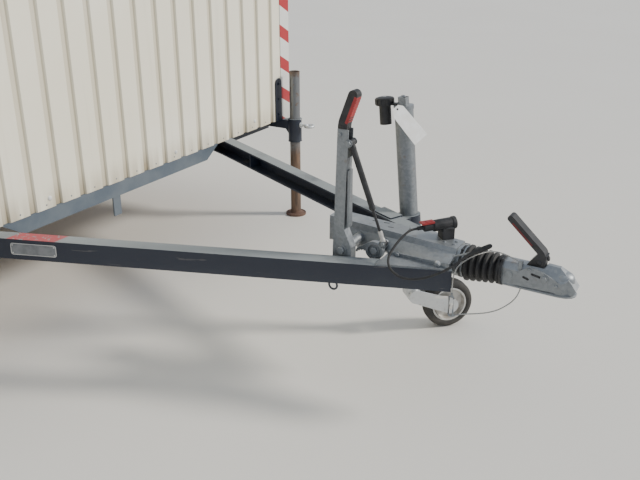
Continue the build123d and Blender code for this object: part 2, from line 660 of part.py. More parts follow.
for prop_name, x, side, end in PROPS:
    with BuildPart() as prop:
        with BuildSketch(Plane(origin=(x, side * PROP_Y, 0), x_dir=(1, 0, 0), z_dir=(0, -1, 0))):
            Polygon(
                (PROP_TUBE_R - PROP_TUBE_T, PROP_FOOT_T),
                (PROP_TUBE_R - PROP_TUBE_T, PROP_TOP_Z),
                (PROP_TUBE_R, PROP_TOP_Z),
                (PROP_TUBE_R, PROP_FOOT_LIP),
                (PROP_FOOT_R, PROP_FOOT_T),
                (PROP_FOOT_R, 0),
                (0, 0),
                (0, PROP_FOOT_T),
                align=None,
            )
        revolve(axis=Axis((x, side * PROP_Y, 0), (0, 0, 1)))
    write_piece(prop, f"prop_{prop_name}")

# Axle: a cross tube under the rails with a trailing arm, back plate and spindle at each end
AXLE_TUBE_X = AXLE_X + ARM_LENGTH
AXLE_TUBE_Z = SILL_Z - MEMBER_H - AXLE_TUBE / 2
DRUM_FACE_Y = WHEEL_Y - RIM_WIDTH / 2
BACK_PLATE_Y = DRUM_FACE_Y - DRUM_DEPTH / 2 - BACK_PLATE_T - WHEEL_RUN_GAP
ARM_FACE_Y = BACK_PLATE_Y - SWING_ARM_T
with BuildPart() as axle_tube:
    with BuildSketch(Plane.XZ):
        with Locations((AXLE_TUBE_X, AXLE_TUBE_Z)):
            RectangleRounded(AXLE_TUBE, AXLE_TUBE, AXLE_TUBE / 8)
    extrude(amount=ARM_FACE_Y, both=True)
write_piece(axle_tube, "axle_tube")

with BuildPart() as swing_arms:
    for side in (1, -1):
        with BuildSketch(Plane.XZ.offset(-side * ARM_FACE_Y)):
            make_hull(
                [
                    Edge.make_circle(AXLE_TUBE / 2, Plane((AXLE_TUBE_X, AXLE_TUBE_Z, 0))),
                    Edge.make_circle(AXLE_TUBE / 2.4, Plane((AXLE_X, TYRE_R, 0))),
                ]
            )
        extrude(amount=-side * SWING_ARM_T)
        with BuildSketch(Plane.XZ.offset(-side * BACK_PLATE_Y)):
            with Locations((AXLE_X, TYRE_R)):
                Circle(DRUM_R)
        extrude(amount=-side * BACK_PLATE_T)
        with BuildSketch(Plane.XZ.offset(-side * BACK_PLATE_Y)):
            with Locations((AXLE_X, TYRE_R)):
                Circle(SPINDLE_R)
        extrude(amount=-side * (WHEEL_Y - BACK_PLATE_Y))
write_piece(swing_arms, "swing_arms")

# Road wheels: a dished steel rim with its brake drum, and the tyre seated on it
RIM_HALF = RIM_WIDTH / 2
TYRE_HALF = TYRE_WIDTH / 2
TREAD_SHARE = 0.78
TREAD_HALF = TYRE_HALF * TREAD_SHARE
SHOULDER_DROP = 22.0
SHOULDER_R = TYRE_R - SHOULDER_DROP
BEAD_HALF = RIM_HALF - RIM_T
BEAD_H = 14.0
SEAT_GAP = 0.2
FLANGE_H = 10.0
WELL_DEPTH = 4 * RIM_T
CAP_SHARE = 0.6
SPINDLE_END_GAP = 1.0
HUB_FILLET = 20.0
DISC_DISH = 10.0
DISC_T = 8.0
DISC_OUT = 18.0
VENT_R = 13.0
VENT_PITCH_R = 122.0
VENT_COUNT = 12
for side_name, side in (("left", 1), ("right", -1)):
    wheel_plane = Plane(origin=(AXLE_X, side * WHEEL_Y, TYRE_R), x_dir=(0, side, 0), z_dir=(1, 0, 0))
    wheel_axis = Axis((AXLE_X, 0, TYRE_R), (0, 1, 0))
    outward = Plane(origin=(AXLE_X, side * (WHEEL_Y + DISC_OUT), TYRE_R), z_dir=(0, side, 0))
    # Local x of the profile points outboard; local y is the radius, upward for the left wheel.
    up = 1 if side > 0 else -1
    with BuildPart() as rim:
        with BuildSketch(wheel_plane):
            Polygon(
                (-RIM_HALF, up * (RIM_R + FLANGE_H)),
                (-RIM_HALF, up * (RIM_R - RIM_T)),
                (-RIM_HALF / 2, up * (RIM_R - WELL_DEPTH)),
                (DISC_OUT, up * (RIM_R - WELL_DEPTH)),
                (DISC_OUT, up * HUB_R),
                (DISC_OUT + DISC_T, up * HUB_R),
                (DISC_OUT + DISC_T + DISC_DISH, up * (VENT_PITCH_R - 2 * VENT_R)),
                (DISC_OUT + DISC_T, up * (RIM_R - WELL_DEPTH)),
                (RIM_HALF / 2, up * (RIM_R - WELL_DEPTH)),
                (RIM_HALF, up * (RIM_R - RIM_T)),
                (RIM_HALF, up * (RIM_R + FLANGE_H)),
                (RIM_HALF - RIM_T, up * (RIM_R + FLANGE_H)),
                (RIM_HALF - RIM_T, up * RIM_R),
                (RIM_HALF / 2 - RIM_T, up * (RIM_R - WELL_DEPTH + RIM_T)),
                (-RIM_HALF / 2 + RIM_T, up * (RIM_R - WELL_DEPTH + RIM_T)),
                (-RIM_HALF + RIM_T, up * RIM_R),
                (-RIM_HALF + RIM_T, up * (RIM_R + FLANGE_H)),
                align=None,
            )
        revolve(axis=wheel_axis)
        with Locations(outward):
            with PolarLocations(VENT_PITCH_R, VENT_COUNT):
                Cylinder(VENT_R, 6 * DISC_T, mode=Mode.SUBTRACT)
        # Hub and drum turn with the wheel.
        with BuildSketch(wheel_plane):
            Polygon(
                (-RIM_HALF - DRUM_DEPTH / 2, up * (SPINDLE_R + HUB_BORE_GAP)),
                (-RIM_HALF - DRUM_DEPTH / 2, up * DRUM_R),
                (-RIM_HALF + DRUM_DEPTH / 2, up * DRUM_R),
                (DISC_OUT, up * (HUB_R + HUB_FILLET)),
                (DISC_OUT + 3 * DISC_T, up * HUB_R * CAP_SHARE),
                (DISC_OUT + 5 * DISC_T, up * HUB_R * CAP_SHARE),
                (DISC_OUT + 5 * DISC_T, 0),
                (SPINDLE_END_GAP, 0),
                (SPINDLE_END_GAP, up * (SPINDLE_R + HUB_BORE_GAP)),
                align=None,
            )
        revolve(axis=wheel_axis)
    write_piece(rim, f"rim_{side_name}")

    with BuildPart() as tyre:
        with BuildSketch(wheel_plane):
            with BuildLine():
                Line((-BEAD_HALF, up * (RIM_R + SEAT_GAP)), (BEAD_HALF, up * (RIM_R + SEAT_GAP)))
                Line((BEAD_HALF, up * (RIM_R + SEAT_GAP)), (BEAD_HALF, up * (RIM_R + BEAD_H)))
                ThreePointArc(
                    (BEAD_HALF, up * (RIM_R + BEAD_H)),
                    (TYRE_HALF, up * (RIM_R + TYRE_R) / 2),
                    (TREAD_HALF, up * SHOULDER_R),
                )
                ThreePointArc((TREAD_HALF, up * SHOULDER_R), (0, up * TYRE_R), (-TREAD_HALF, up * SHOULDER_R))
                ThreePointArc(
                    (-TREAD_HALF, up * SHOULDER_R),
                    (-TYRE_HALF, up * (RIM_R + TYRE_R) / 2),
                    (-BEAD_HALF, up * (RIM_R + BEAD_H)),
                )
                Line((-BEAD_HALF, up * (RIM_R + BEAD_H)), (-BEAD_HALF, up * (RIM_R + SEAT_GAP)))
            make_face()
        revolve(axis=wheel_axis)
    write_piece(tyre, f"tyre_{side_name}")

# Overrun device: a pressed housing over the draw tube. It starts as a narrow upright box behind, hung
# between the beams, and turns into a flat hat with wide shoulders in front, footed on the beams' flanges.
FALL = degrees(atan2(BEAM_DROP, BEAM_RUN * BEAM_COS))
FALL_SIN = sin(radians(FALL))
FALL_COS = cos(radians(FALL))
HOUSING_SECTIONS = (
    # distance ahead, then half width and height above the sill at the top, the shoulder and the base
    (HOUSING_REAR_X, 31.0, 32.0, 32.0, 8.0, 33.0, -45.0),
    (HOUSING_FRONT_X, 33.0, 10.0, 39.0, -4.0, 86.0, -20.0),
)
REAR_ROW, FRONT_ROW = HOUSING_SECTIONS
TUBE_TAIL_INSET = 80.0
TUBE_IN_HEAD = 60.0
TUBE_TAIL_X = FRONT_X + HOUSING_REAR_X + TUBE_TAIL_INSET
TUBE_HEAD_X = FRONT_X + HEAD_REAR_X + TUBE_IN_HEAD
GUIDE_R = 45.0
GUIDE_T = 8.0
GUIDE_X = FRONT_X + HOUSING_FRONT_X - GUIDE_T
REAR_GUIDE_R = 32.0
REAR_GUIDE_INSET = 12.0
REAR_GUIDE_HALF_W = 28.0
REAR_GUIDE_TOP = SILL_Z + FRONT_ROW[2] - COUPLING_Z
FOOT_EDGE_ROOM = 2.0
SKIRT_LAP = 2.0
FOOT_REAR_X = HOUSING_FRONT_X - HOUSING_FOOT_LENGTH
FOOT_INNER_Y = FRONT_ROW[5] - HOUSING_T
FLANGE_PLANE = Plane(
    origin=(FRONT_X, 0, SILL_Z),
    x_dir=(FALL_COS, 0, -FALL_SIN),
    z_dir=(FALL_SIN, 0, FALL_COS),
)
BOSS_R = 15.0
BOSS_START_Y = -38.0

# Electric cable: corner points of its route from the gland over the bellows to the parked plug
ELECTRIC_ROUTE = (
    # ahead of the beams' front ends, to the left, above the sill
    (51.0, -60.0, 22.0),
    (33.0, -77.0, 14.0),
    (18.0, -97.0, -5.0),
    (1.0, -113.0, -17.0),
    (-23.0, -132.0, -31.0),
    (-51.0, -150.0, -43.0),
    (-82.0, -164.0, -49.0),
    (-111.0, -172.0, -49.0),
    (-137.0, -173.0, -39.0),
    (-156.0, -166.0, -26.0),
    (-166.0, -151.0, -10.0),
    (-165.0, -129.0, 7.0),
    (-159.0, -104.0, 25.0),
    (-148.0, -76.0, 43.0),
    (-139.9, -57.9, 49.9),
    (-127.0, -44.0, 51.0),
)


def route_points(route):
    """Corner points of a cable's route in space."""
    nose_x = FRONT_X + BEAM_NOSE_X
    return [Vector(nose_x + ahead, across, SILL_Z + above) for ahead, across, above in route]


electric_points = route_points(ELECTRIC_ROUTE)

# Plug parked on the housing, in line with the cable's last run
PLUG_TAIL = electric_points[-1]
PLUG_AIM = (electric_points[-1] - electric_points[-2]).normalized()
PLUG_PLANE = Plane(origin=PLUG_TAIL, x_dir=Vector(0, 0, 1).cross(PLUG_AIM), z_dir=PLUG_AIM)
SADDLE_AT = 92.0
SADDLE_LENGTH = 34.0
SADDLE_W = 30.0
GLAND_R = 6.5
GLAND_LENGTH = 46.0
GLAND_ROD_R = 3.0
GLAND_ROD_AT = 19.0
GLAND_ROD_BELOW = 4.0
GLAND_ROD_BELOW_SILL = 11.0


def housing_section(row, inset):
    """Closed outline across the housing, moved inward by the given wall thickness."""
    run, half_top, top, half_shoulder, shoulder, half_base, base = row
    right = (
        (half_top - inset / 2, SILL_Z + top - inset),
        (half_shoulder - inset, SILL_Z + shoulder - inset / 2),
        (half_base - inset, SILL_Z + base),
    )
    with BuildSketch(Plane.YZ.offset(FRONT_X + run)) as outline:
        Polygon(*right, *[(-across, up) for across, up in reversed(right)], align=None)
    return outline.sketch


SECTOR_Y = -100.0
LEVER_PIVOT = (FRONT_X + LEVER_X + 1.0, SILL_Z - 14.0)
RING_AHEAD_OF_LEVER = 84.0
RING_BELOW_SILL = 15.0
RING_PIVOT = (FRONT_X + LEVER_X + RING_AHEAD_OF_LEVER, SILL_Z - RING_BELOW_SILL)
with BuildPart() as housing_hollow:
    for row in HOUSING_SECTIONS:
        add(housing_section(row, HOUSING_T))
    loft()
    with BuildSketch(Plane.YZ.offset(FRONT_X + HOUSING_REAR_X + HOUSING_T)):
        Rectangle(BODY_WIDTH, 2 * SILL_Z)
    extrude(amount=HOUSING_LENGTH - HOUSING_T - GUIDE_T, mode=Mode.INTERSECT)

with BuildPart() as overrun_housing:
    for row in HOUSING_SECTIONS:
        add(housing_section(row, 0))
    loft()
    add(housing_hollow.part, mode=Mode.SUBTRACT)
    # Skirts that drop from the arch to the beams, and the feet that lie on the beams' top flanges
    for side in (1, -1):
        with BuildSketch(Plane.XZ.offset(-side * FOOT_INNER_Y)):
            Polygon(
                (FRONT_X + FOOT_REAR_X, SILL_Z - FOOT_REAR_X * FALL_SIN),
                (FRONT_X + FOOT_REAR_X, SILL_Z + FRONT_ROW[6] + SKIRT_LAP),
                (FRONT_X + HOUSING_FRONT_X, SILL_Z + FRONT_ROW[6] + SKIRT_LAP),
                (FRONT_X + HOUSING_FRONT_X, SILL_Z - HOUSING_FRONT_X * FALL_SIN),
                align=None,
            )
        extrude(amount=-side * HOUSING_T)
        with BuildSketch(FLANGE_PLANE):
            Polygon(
                (FOOT_REAR_X, side * FOOT_INNER_Y),
                (FOOT_REAR_X, side * (beam_outer_y(FOOT_REAR_X) - FOOT_EDGE_ROOM)),
                (HOUSING_FRONT_X, side * (beam_outer_y(HOUSING_FRONT_X) - FOOT_EDGE_ROOM)),
                (HOUSING_FRONT_X, side * FOOT_INNER_Y),
                align=None,
            )
        extrude(amount=HOUSING_T)
    # Front bearing with the ring that carries the bellows, and a rear bearing inside, both for the draw tube
    with BuildSketch(Plane.YZ.offset(GUIDE_X)):
        with Locations((0, COUPLING_Z)):
            Circle(GUIDE_R)
    extrude(amount=FRONT_X + BELLOWS_REAR_X - GUIDE_X)
    with BuildSketch(Plane.YZ.offset(TUBE_TAIL_X + REAR_GUIDE_INSET)):
        with Locations((0, COUPLING_Z)):
            Circle(REAR_GUIDE_R)
            Rectangle(2 * REAR_GUIDE_HALF_W, REAR_GUIDE_TOP, align=(Align.CENTER, Align.MIN))
    extrude(amount=GUIDE_T)
    with BuildSketch(Plane.YZ.offset(TUBE_TAIL_X)):
        with Locations((0, COUPLING_Z)):
            Circle(DRAW_TUBE_R + SOCKET_GAP)
    extrude(amount=BELLOWS_FRONT_X, mode=Mode.SUBTRACT)
    # Bosses for the handbrake lever and for the brake ring, standing out of the right side
    for pivot, radius, end_y in (
        (LEVER_PIVOT, BOSS_R, LEVER_Y + LEVER_DEPTH / 2),
        (RING_PIVOT, BOSS_R, SECTOR_Y + SECTOR_T / 2),
    ):
        with BuildSketch(Plane.XZ.offset(-BOSS_START_Y)):
            with Locations(pivot):
                Circle(radius)
        extrude(amount=BOSS_START_Y - end_y)
    # Saddle on the top that holds the parked plug
    saddle_point = PLUG_TAIL + PLUG_AIM * SADDLE_AT
    saddle_turn = degrees(atan2(PLUG_AIM.Y, PLUG_AIM.X))
    saddle_low_z = SILL_Z + FRONT_ROW[2] - HOUSING_T
    with BuildSketch(Plane.XY.offset(saddle_low_z)):
        with Locations(Location((saddle_point.X, saddle_point.Y, 0), (0, 0, saddle_turn))):
            Rectangle(SADDLE_LENGTH, SADDLE_W)
    extrude(amount=saddle_point.Z - saddle_low_z)
    with BuildSketch(PLUG_PLANE):
        Circle(PLUG_R)
    extrude(amount=2 * PLUG_LENGTH, mode=Mode.SUBTRACT)
    # Gland that holds the electric cable above the bellows, on a rod from the bearing plate
    gland_aim = (electric_points[0] - electric_points[1]).normalized()
    gland_tip = electric_points[0] + gland_aim * GLAND_LENGTH
    with BuildSketch(Plane(origin=electric_points[0], z_dir=gland_aim)):
        Circle(GLAND_R)
    extrude(amount=GLAND_LENGTH)
    with Locations(gland_tip):
        Sphere(GLAND_R)
    rod_end = electric_points[0] + gland_aim * GLAND_ROD_AT - Vector(0, 0, GLAND_ROD_BELOW)
    rod_start = Vector(GUIDE_X, rod_end.Y, SILL_Z - GLAND_ROD_BELOW_SILL)
    with BuildSketch(Plane(origin=rod_start, z_dir=rod_end - rod_start)):
        Circle(GLAND_ROD_R)
    extrude(amount=(rod_end - rod_start).length)
write_piece(overrun_housing, "overrun_housing")

# Draw tube, running level from the housing to the coupling head
with BuildPart() as draw_tube:
    with BuildSketch(Plane.YZ.offset(TUBE_TAIL_X)):
        with Locations((0, COUPLING_Z)):
            Circle(DRAW_TUBE_R)
    extrude(amount=TUBE_HEAD_X - TUBE_TAIL_X)
write_piece(draw_tube, "draw_tube")

# Bellows over the draw tube, one ring for each fold
BELLOWS_BORE_R = DRAW_TUBE_R + SOCKET_GAP
FOLD_CREST_START = 0.35
FOLD_CREST_END = 0.65
FOLD = (BELLOWS_FRONT_X - BELLOWS_REAR_X) / BELLOWS_FOLDS
with BuildPart() as bellows:
    with BuildSketch(Plane.XZ):
        outline = [(FRONT_X + BELLOWS_REAR_X, COUPLING_Z + BELLOWS_ROOT_R)]
        for index in range(BELLOWS_FOLDS):
            x = FRONT_X + BELLOWS_REAR_X + index * FOLD
            shrink = BELLOWS_TAPER * index / BELLOWS_FOLDS
            outline.append((x + FOLD_CREST_START * FOLD, COUPLING_Z + BELLOWS_R - shrink))
            outline.append((x + FOLD_CREST_END * FOLD, COUPLING_Z + BELLOWS_R - shrink))
            outline.append((x + FOLD, COUPLING_Z + BELLOWS_ROOT_R - shrink))
        outline.append((FRONT_X + BELLOWS_FRONT_X, COUPLING_Z + BELLOWS_BORE_R))
        outline.append((FRONT_X + BELLOWS_REAR_X, COUPLING_Z + BELLOWS_BORE_R))
        Polygon(*outline, align=None)
    revolve(axis=Axis((0, 0, COUPLING_Z), (1, 0, 0)))
write_piece(bellows, "bellows")

# Breakaway cable: corner points from the lug on the coupling head down to the hook, and of the loop
# that comes back to the head's underside
BREAKAWAY_ROUTE = (
    # ahead of the beams' front ends, to the left, above the sill
    (164.0, -22.0, 6.0),
    (145.0, -20.0, 12.0),
    (123.0, -18.0, 17.0),
    (100.0, -19.0, 20.0),
    (78.0, -26.0, 17.0),
    (58.0, -38.0, 11.0),
    (41.0, -53.0, 3.0),
    (27.0, -71.0, -6.0),
    (17.0, -89.0, -16.0),
    (12.0, -99.0, -32.0),
    (10.0, -102.0, -52.0),
    (9.0, -101.0, -74.0),
    (9.0, -100.0, -94.0),
)
LOOP_ROUTE = (
    # ahead of the beams' front ends, to the left, above the sill
    (18.0, -91.0, -167.0),
    (32.0, -76.0, -166.0),
    (50.0, -65.0, -166.0),
    (74.0, -55.0, -163.0),
    (99.0, -47.0, -157.0),
    (124.0, -40.0, -146.0),
    (146.0, -33.0, -129.0),
    (164.0, -26.0, -110.0),
    (174.0, -21.0, -87.0),
    (177.0, -20.0, -69.0),
)
breakaway_points = route_points(BREAKAWAY_ROUTE)
loop_points = route_points(LOOP_ROUTE)
CABLE_FERRULE_R = 3.2
CABLE_FERRULE_LENGTH = 10.0

# Coupling head: plan outline cut by its side outline, its long top edges sloped, with the ball socket below
HEAD_HALF_W = 28.0
DOME_R = 31.0
NOSE_HALF_W = 22.0
HEAD_X = FRONT_X + BELLOWS_FRONT_X
HEAD_TAIL = HEAD_REAR_X + HEAD_INSIDE_BELLOWS - BALL_X
SEAT_FRONT = -46.0
HEAD_SIDE = (
    # distance ahead of the ball, height above the draw tube's middle
    (HEAD_TAIL, -HEAD_BELOW_TUBE),
    (HEAD_TAIL, HEAD_ABOVE_TUBE),
    (SEAT_FRONT, HEAD_ABOVE_TUBE),
    (SEAT_FRONT + 9.0, HEAD_ABOVE_TUBE + 14.0),
    (-7.0, HEAD_ABOVE_TUBE + 8.0),
    (14.0, 28.0),
    (30.0, 9.0),
    (NOSE_BEYOND_BALL, -10.0),
    (NOSE_BEYOND_BALL - 6.0, -21.0),
    (24.0, -HEAD_BELOW_TUBE),
)
RIDGE_FALL = 3.0
RIDGE_ABOVE_TUBE = 15.0
RIDGE_HALF_W = 31.0
RIDGE_SLOPE_W = 24.0
RIDGE_SLOPE_H = 36.0
SIDE_PLATE_T = 3.0
SIDE_PLATE = (
    # distance ahead of the ball, height above the draw tube's middle
    (-120.0, -22.0),
    (-113.0, 18.0),
    (-82.0, 38.0),
    (-41.0, 28.0),
    (2.0, 7.0),
    (10.0, -22.0),
)
RIDGE_PLANE = Plane(
    origin=(HEAD_X, 0, COUPLING_Z + RIDGE_ABOVE_TUBE),
    x_dir=(0, 1, 0),
    z_dir=(cos(radians(RIDGE_FALL)), 0, -sin(radians(RIDGE_FALL))),
)
CABLE_LUG_AT = (1443.0, -22.0)
CABLE_LUG_PLAN = (10.0, 8.0)
CABLE_LUG_TOP_Z = HEAD_TOP_Z + 12.0
CABLE_LUG_H = 32.0
with BuildPart() as coupling_head:
    with BuildSketch(Plane.XY.offset(HEAD_LOW_Z)):
        with Locations((HEAD_X, 0)):
            Rectangle(-HEAD_TAIL, 2 * HEAD_HALF_W, align=(Align.MIN, Align.CENTER))
        with Locations((FRONT_X + BALL_X, 0)):
            Circle(DOME_R)
        with Locations((FRONT_X + NOSE_X, 0)):
            Rectangle(NOSE_BEYOND_BALL, 2 * NOSE_HALF_W, align=(Align.MAX, Align.CENTER))
    extrude(amount=2 * (HEAD_TOP_Z - HEAD_LOW_Z))
    with BuildSketch(Plane.XZ):
        Polygon(*[(FRONT_X + BALL_X + ahead, COUPLING_Z + above) for ahead, above in HEAD_SIDE], align=None)
    extrude(amount=2 * DOME_R, both=True, mode=Mode.INTERSECT)
    with BuildSketch(RIDGE_PLANE.offset(-HEAD_LENGTH)):
        Polygon(
            (-RIDGE_HALF_W, -HEAD_LENGTH),
            (-RIDGE_HALF_W, 0),
            (RIDGE_SLOPE_W - RIDGE_HALF_W, RIDGE_SLOPE_H),
            (RIDGE_HALF_W - RIDGE_SLOPE_W, RIDGE_SLOPE_H),
            (RIDGE_HALF_W, 0),
            (RIDGE_HALF_W, -HEAD_LENGTH),
            align=None,
        )
    extrude(amount=3 * HEAD_LENGTH, mode=Mode.INTERSECT)
    side_outline = [(FRONT_X + BALL_X + ahead, COUPLING_Z + above) for ahead, above in SIDE_PLATE]
    for side in (1, -1):
        with BuildSketch(Plane.XZ.offset(-side * HEAD_HALF_W)):
            Polygon(*side_outline, align=None)
        extrude(amount=-side * SIDE_PLATE_T)
    with Locations((FRONT_X + BALL_X, 0, BALL_Z)):
        Sphere(BALL_R + SOCKET_GAP, mode=Mode.SUBTRACT)
    with BuildSketch(Plane.XY.offset(BALL_Z)):
        with Locations((FRONT_X + BALL_X, 0)):
            Circle(BALL_R + SOCKET_GAP)
    extrude(amount=-BALL_Z, mode=Mode.SUBTRACT)
    with BuildSketch(Plane.YZ.offset(HEAD_X)):
        with Locations((0, COUPLING_Z)):
            Circle(DRAW_TUBE_R)
    extrude(amount=TUBE_HEAD_X - HEAD_X, mode=Mode.SUBTRACT)
    # Lug on the top that holds the breakaway cable
    with BuildSketch(Plane.XY.offset(CABLE_LUG_TOP_Z)):
        with Locations((FRONT_X + CABLE_LUG_AT[0], CABLE_LUG_AT[1])):
            Rectangle(*CABLE_LUG_PLAN)
    extrude(amount=-CABLE_LUG_H)
    # Ferrules on the two ends of the breakaway cable
    for end_point, next_point in (breakaway_points[:2], loop_points[:-3:-1]):
        with BuildSketch(Plane(origin=end_point, z_dir=end_point - next_point)):
            Circle(CABLE_FERRULE_R)
        extrude(amount=CABLE_FERRULE_LENGTH)
write_piece(coupling_head, "coupling_head")

# Coupling handle: a wide base on the head, a knee, and a round-ended grip leaning back over the bellows
PIVOT_R = 9.0
PIVOT_BEHIND_BALL = 63.0
HANDLE_PIVOT = Vector(FRONT_X + BALL_X - PIVOT_BEHIND_BALL, HEAD_TOP_Z + PIVOT_R)
KNEE_OFFSET = (9.0, 26.0)
TIP_OFFSET = (-88.0, 114.0)
HANDLE_KNEE = HANDLE_PIVOT + Vector(KNEE_OFFSET)
HANDLE_TIP = HANDLE_PIVOT + Vector(TIP_OFFSET)
HANDLE_HALF_W = 16.0
HANDLE_T = 17.0
KNEE_RADIUS = 14.0
HANDLE_BASE = ((-32.0, 0.0), (16.0, 0.0), (19.0, 34.0), (-2.0, 40.0), (-24.0, 12.0))
with BuildPart() as coupling_handle:
    with BuildSketch(Plane.XZ):
        with BuildLine():
            FilletPolyline(HANDLE_PIVOT, HANDLE_KNEE, HANDLE_TIP, radius=KNEE_RADIUS)
        trace(line_width=HANDLE_T)
        with Locations((HANDLE_TIP.X, HANDLE_TIP.Y)):
            Circle(HANDLE_T / 2)
        with Locations((HANDLE_PIVOT.X, HEAD_TOP_Z)):
            Polygon(*HANDLE_BASE, align=None)
        with Locations((HANDLE_PIVOT.X, HEAD_TOP_Z)):
            Rectangle(HEAD_LENGTH, HEAD_LENGTH, align=(Align.CENTER, Align.MAX), mode=Mode.SUBTRACT)
    extrude(amount=HANDLE_HALF_W, both=True)
write_piece(coupling_handle, "coupling_handle")

# Handbrake lever: a tall channel open to the rear, hung on its boss beside the housing. Its web is
# cut away at the top for the strut's eye and the grip.
LEVER_PROFILE = (
    # height above the sill, then the rear and the front edge from the lever's middle
    (-48.0, -29.0, 31.0),
    (-4.0, -28.0, 31.0),
    (50.0, -25.0, 8.0),
    (LEVER_ABOVE_SILL, -16.0, 18.0),
)
LEVER_MID_X = FRONT_X + LEVER_X
LEVER_FRONT_EDGE = [(LEVER_MID_X + front, SILL_Z + above) for above, rear, front in LEVER_PROFILE]
LEVER_REAR_EDGE = [(LEVER_MID_X + rear, SILL_Z + above) for above, rear, front in reversed(LEVER_PROFILE)]
LEVER_LOW_Z = SILL_Z + LEVER_PROFILE[0][0]
LEVER_REACH = LEVER_TOP_Z - LEVER_LOW_Z
with BuildPart() as handbrake_lever:
    with BuildSketch(Plane.XZ.offset(-LEVER_Y)):
        Polygon(*LEVER_FRONT_EDGE, *LEVER_REAR_EDGE, align=None)
    extrude(amount=LEVER_DEPTH / 2, both=True)
    with BuildSketch(Plane.XZ.offset(-LEVER_Y)):
        Polygon(
            *[(x - LEVER_T, z) for x, z in LEVER_FRONT_EDGE],
            (LEVER_MID_X - LEVER_REACH, LEVER_TOP_Z),
            (LEVER_MID_X - LEVER_REACH, LEVER_LOW_Z),
            align=None,
        )
        with Locations((LEVER_MID_X, LEVER_TOP_Z)):
            Rectangle(LEVER_REACH, LEVER_NOTCH, align=(Align.CENTER, Align.MAX))
    extrude(amount=LEVER_DEPTH / 2 - LEVER_T, both=True, mode=Mode.SUBTRACT)
write_piece(handbrake_lever, "handbrake_lever")

# Grip on the lever's top, with a tang between the cheeks
GRIP_T = 28.0
GRIP_HALF_W = 13.0
GRIP_LOW = (LEVER_MID_X - 2.0, LEVER_TOP_Z)
GRIP_MID = (LEVER_MID_X - 2.0, LEVER_TOP_Z + 14.0)
GRIP_TOP = (LEVER_MID_X + 28.0, GRIP_TOP_Z - GRIP_T / 2)
GRIP_BEND = 60.0
TANG_W = 20.0
TANG_H = 40.0
TANG_BEHIND = 6.0
with BuildPart() as handbrake_grip:
    with BuildSketch(Plane.XZ.offset(-LEVER_Y)):
        with BuildLine():
            FilletPolyline(GRIP_LOW, GRIP_MID, GRIP_TOP, radius=GRIP_BEND)
        trace(line_width=GRIP_T)
        with Locations(GRIP_TOP):
            Circle(GRIP_T / 2)
    extrude(amount=GRIP_HALF_W, both=True)
    with BuildSketch(Plane.XZ.offset(-LEVER_Y)):
        with Locations((LEVER_MID_X - TANG_BEHIND, LEVER_TOP_Z)):
            Rectangle(TANG_W, TANG_H, align=(Align.CENTER, Align.MAX))
    extrude(amount=LEVER_DEPTH / 2 - LEVER_T, both=True)
write_piece(handbrake_grip, "handbrake_grip")

# Brake ring and toothed plate on the second boss, with an ear for the strut
RING_CUP_R = 28.0
RING_CUP_DEPTH = 9.0
RING_RECESS_R = 19.0
RING_RECESS_DEPTH = 6.0
TOOTH_PLATE_R = 12.0
TOOTH_PLATE_OFFSET = (-51.0, -15.0)
TOOTH_PITCH_R = 26.0
TOOTH_ARC_OFFSET = (-40.0, -36.0)
TOOTH_R = 3.0
TOOTH_COUNT = 20
EAR_R = 10.0
EAR_OFFSET = (30.0, 28.0)
STRUT_LOW_EYE = (RING_PIVOT[0] + EAR_OFFSET[0], RING_PIVOT[1] + EAR_OFFSET[1])
TOOTH_PLATE_POINT = (RING_PIVOT[0] + TOOTH_PLATE_OFFSET[0], RING_PIVOT[1] + TOOTH_PLATE_OFFSET[1])
TOOTH_ARC_POINT = (RING_PIVOT[0] + TOOTH_ARC_OFFSET[0], RING_PIVOT[1] + TOOTH_ARC_OFFSET[1])
SECTOR_FACE_Y = SECTOR_Y - SECTOR_T / 2
with BuildPart() as brake_sector:
    with BuildSketch(Plane.XZ.offset(-SECTOR_Y)):
        make_hull(
            [
                Edge.make_circle(RING_CUP_R, Plane((*RING_PIVOT, 0))),
                Edge.make_circle(TOOTH_PLATE_R, Plane((*TOOTH_PLATE_POINT, 0))),
            ]
        )
        make_hull(
            [
                Edge.make_circle(RING_CUP_R / 2, Plane((*RING_PIVOT, 0))),
                Edge.make_circle(EAR_R, Plane((*STRUT_LOW_EYE, 0))),
            ]
        )
        with Locations(TOOTH_ARC_POINT):
            Circle(TOOTH_PITCH_R, mode=Mode.SUBTRACT)
            with PolarLocations(TOOTH_PITCH_R, TOOTH_COUNT):
                Circle(TOOTH_R, mode=Mode.SUBTRACT)
    extrude(amount=SECTOR_T / 2, both=True)
    with BuildSketch(Plane.XZ.offset(-SECTOR_FACE_Y)):
        with Locations(RING_PIVOT):
            Circle(RING_CUP_R)
    extrude(amount=RING_CUP_DEPTH)
    with BuildSketch(Plane.XZ.offset(RING_CUP_DEPTH - SECTOR_FACE_Y)):
        with Locations(RING_PIVOT):
            Circle(RING_RECESS_R)
    extrude(amount=-RING_RECESS_DEPTH, mode=Mode.SUBTRACT)
write_piece(brake_sector, "brake_sector")

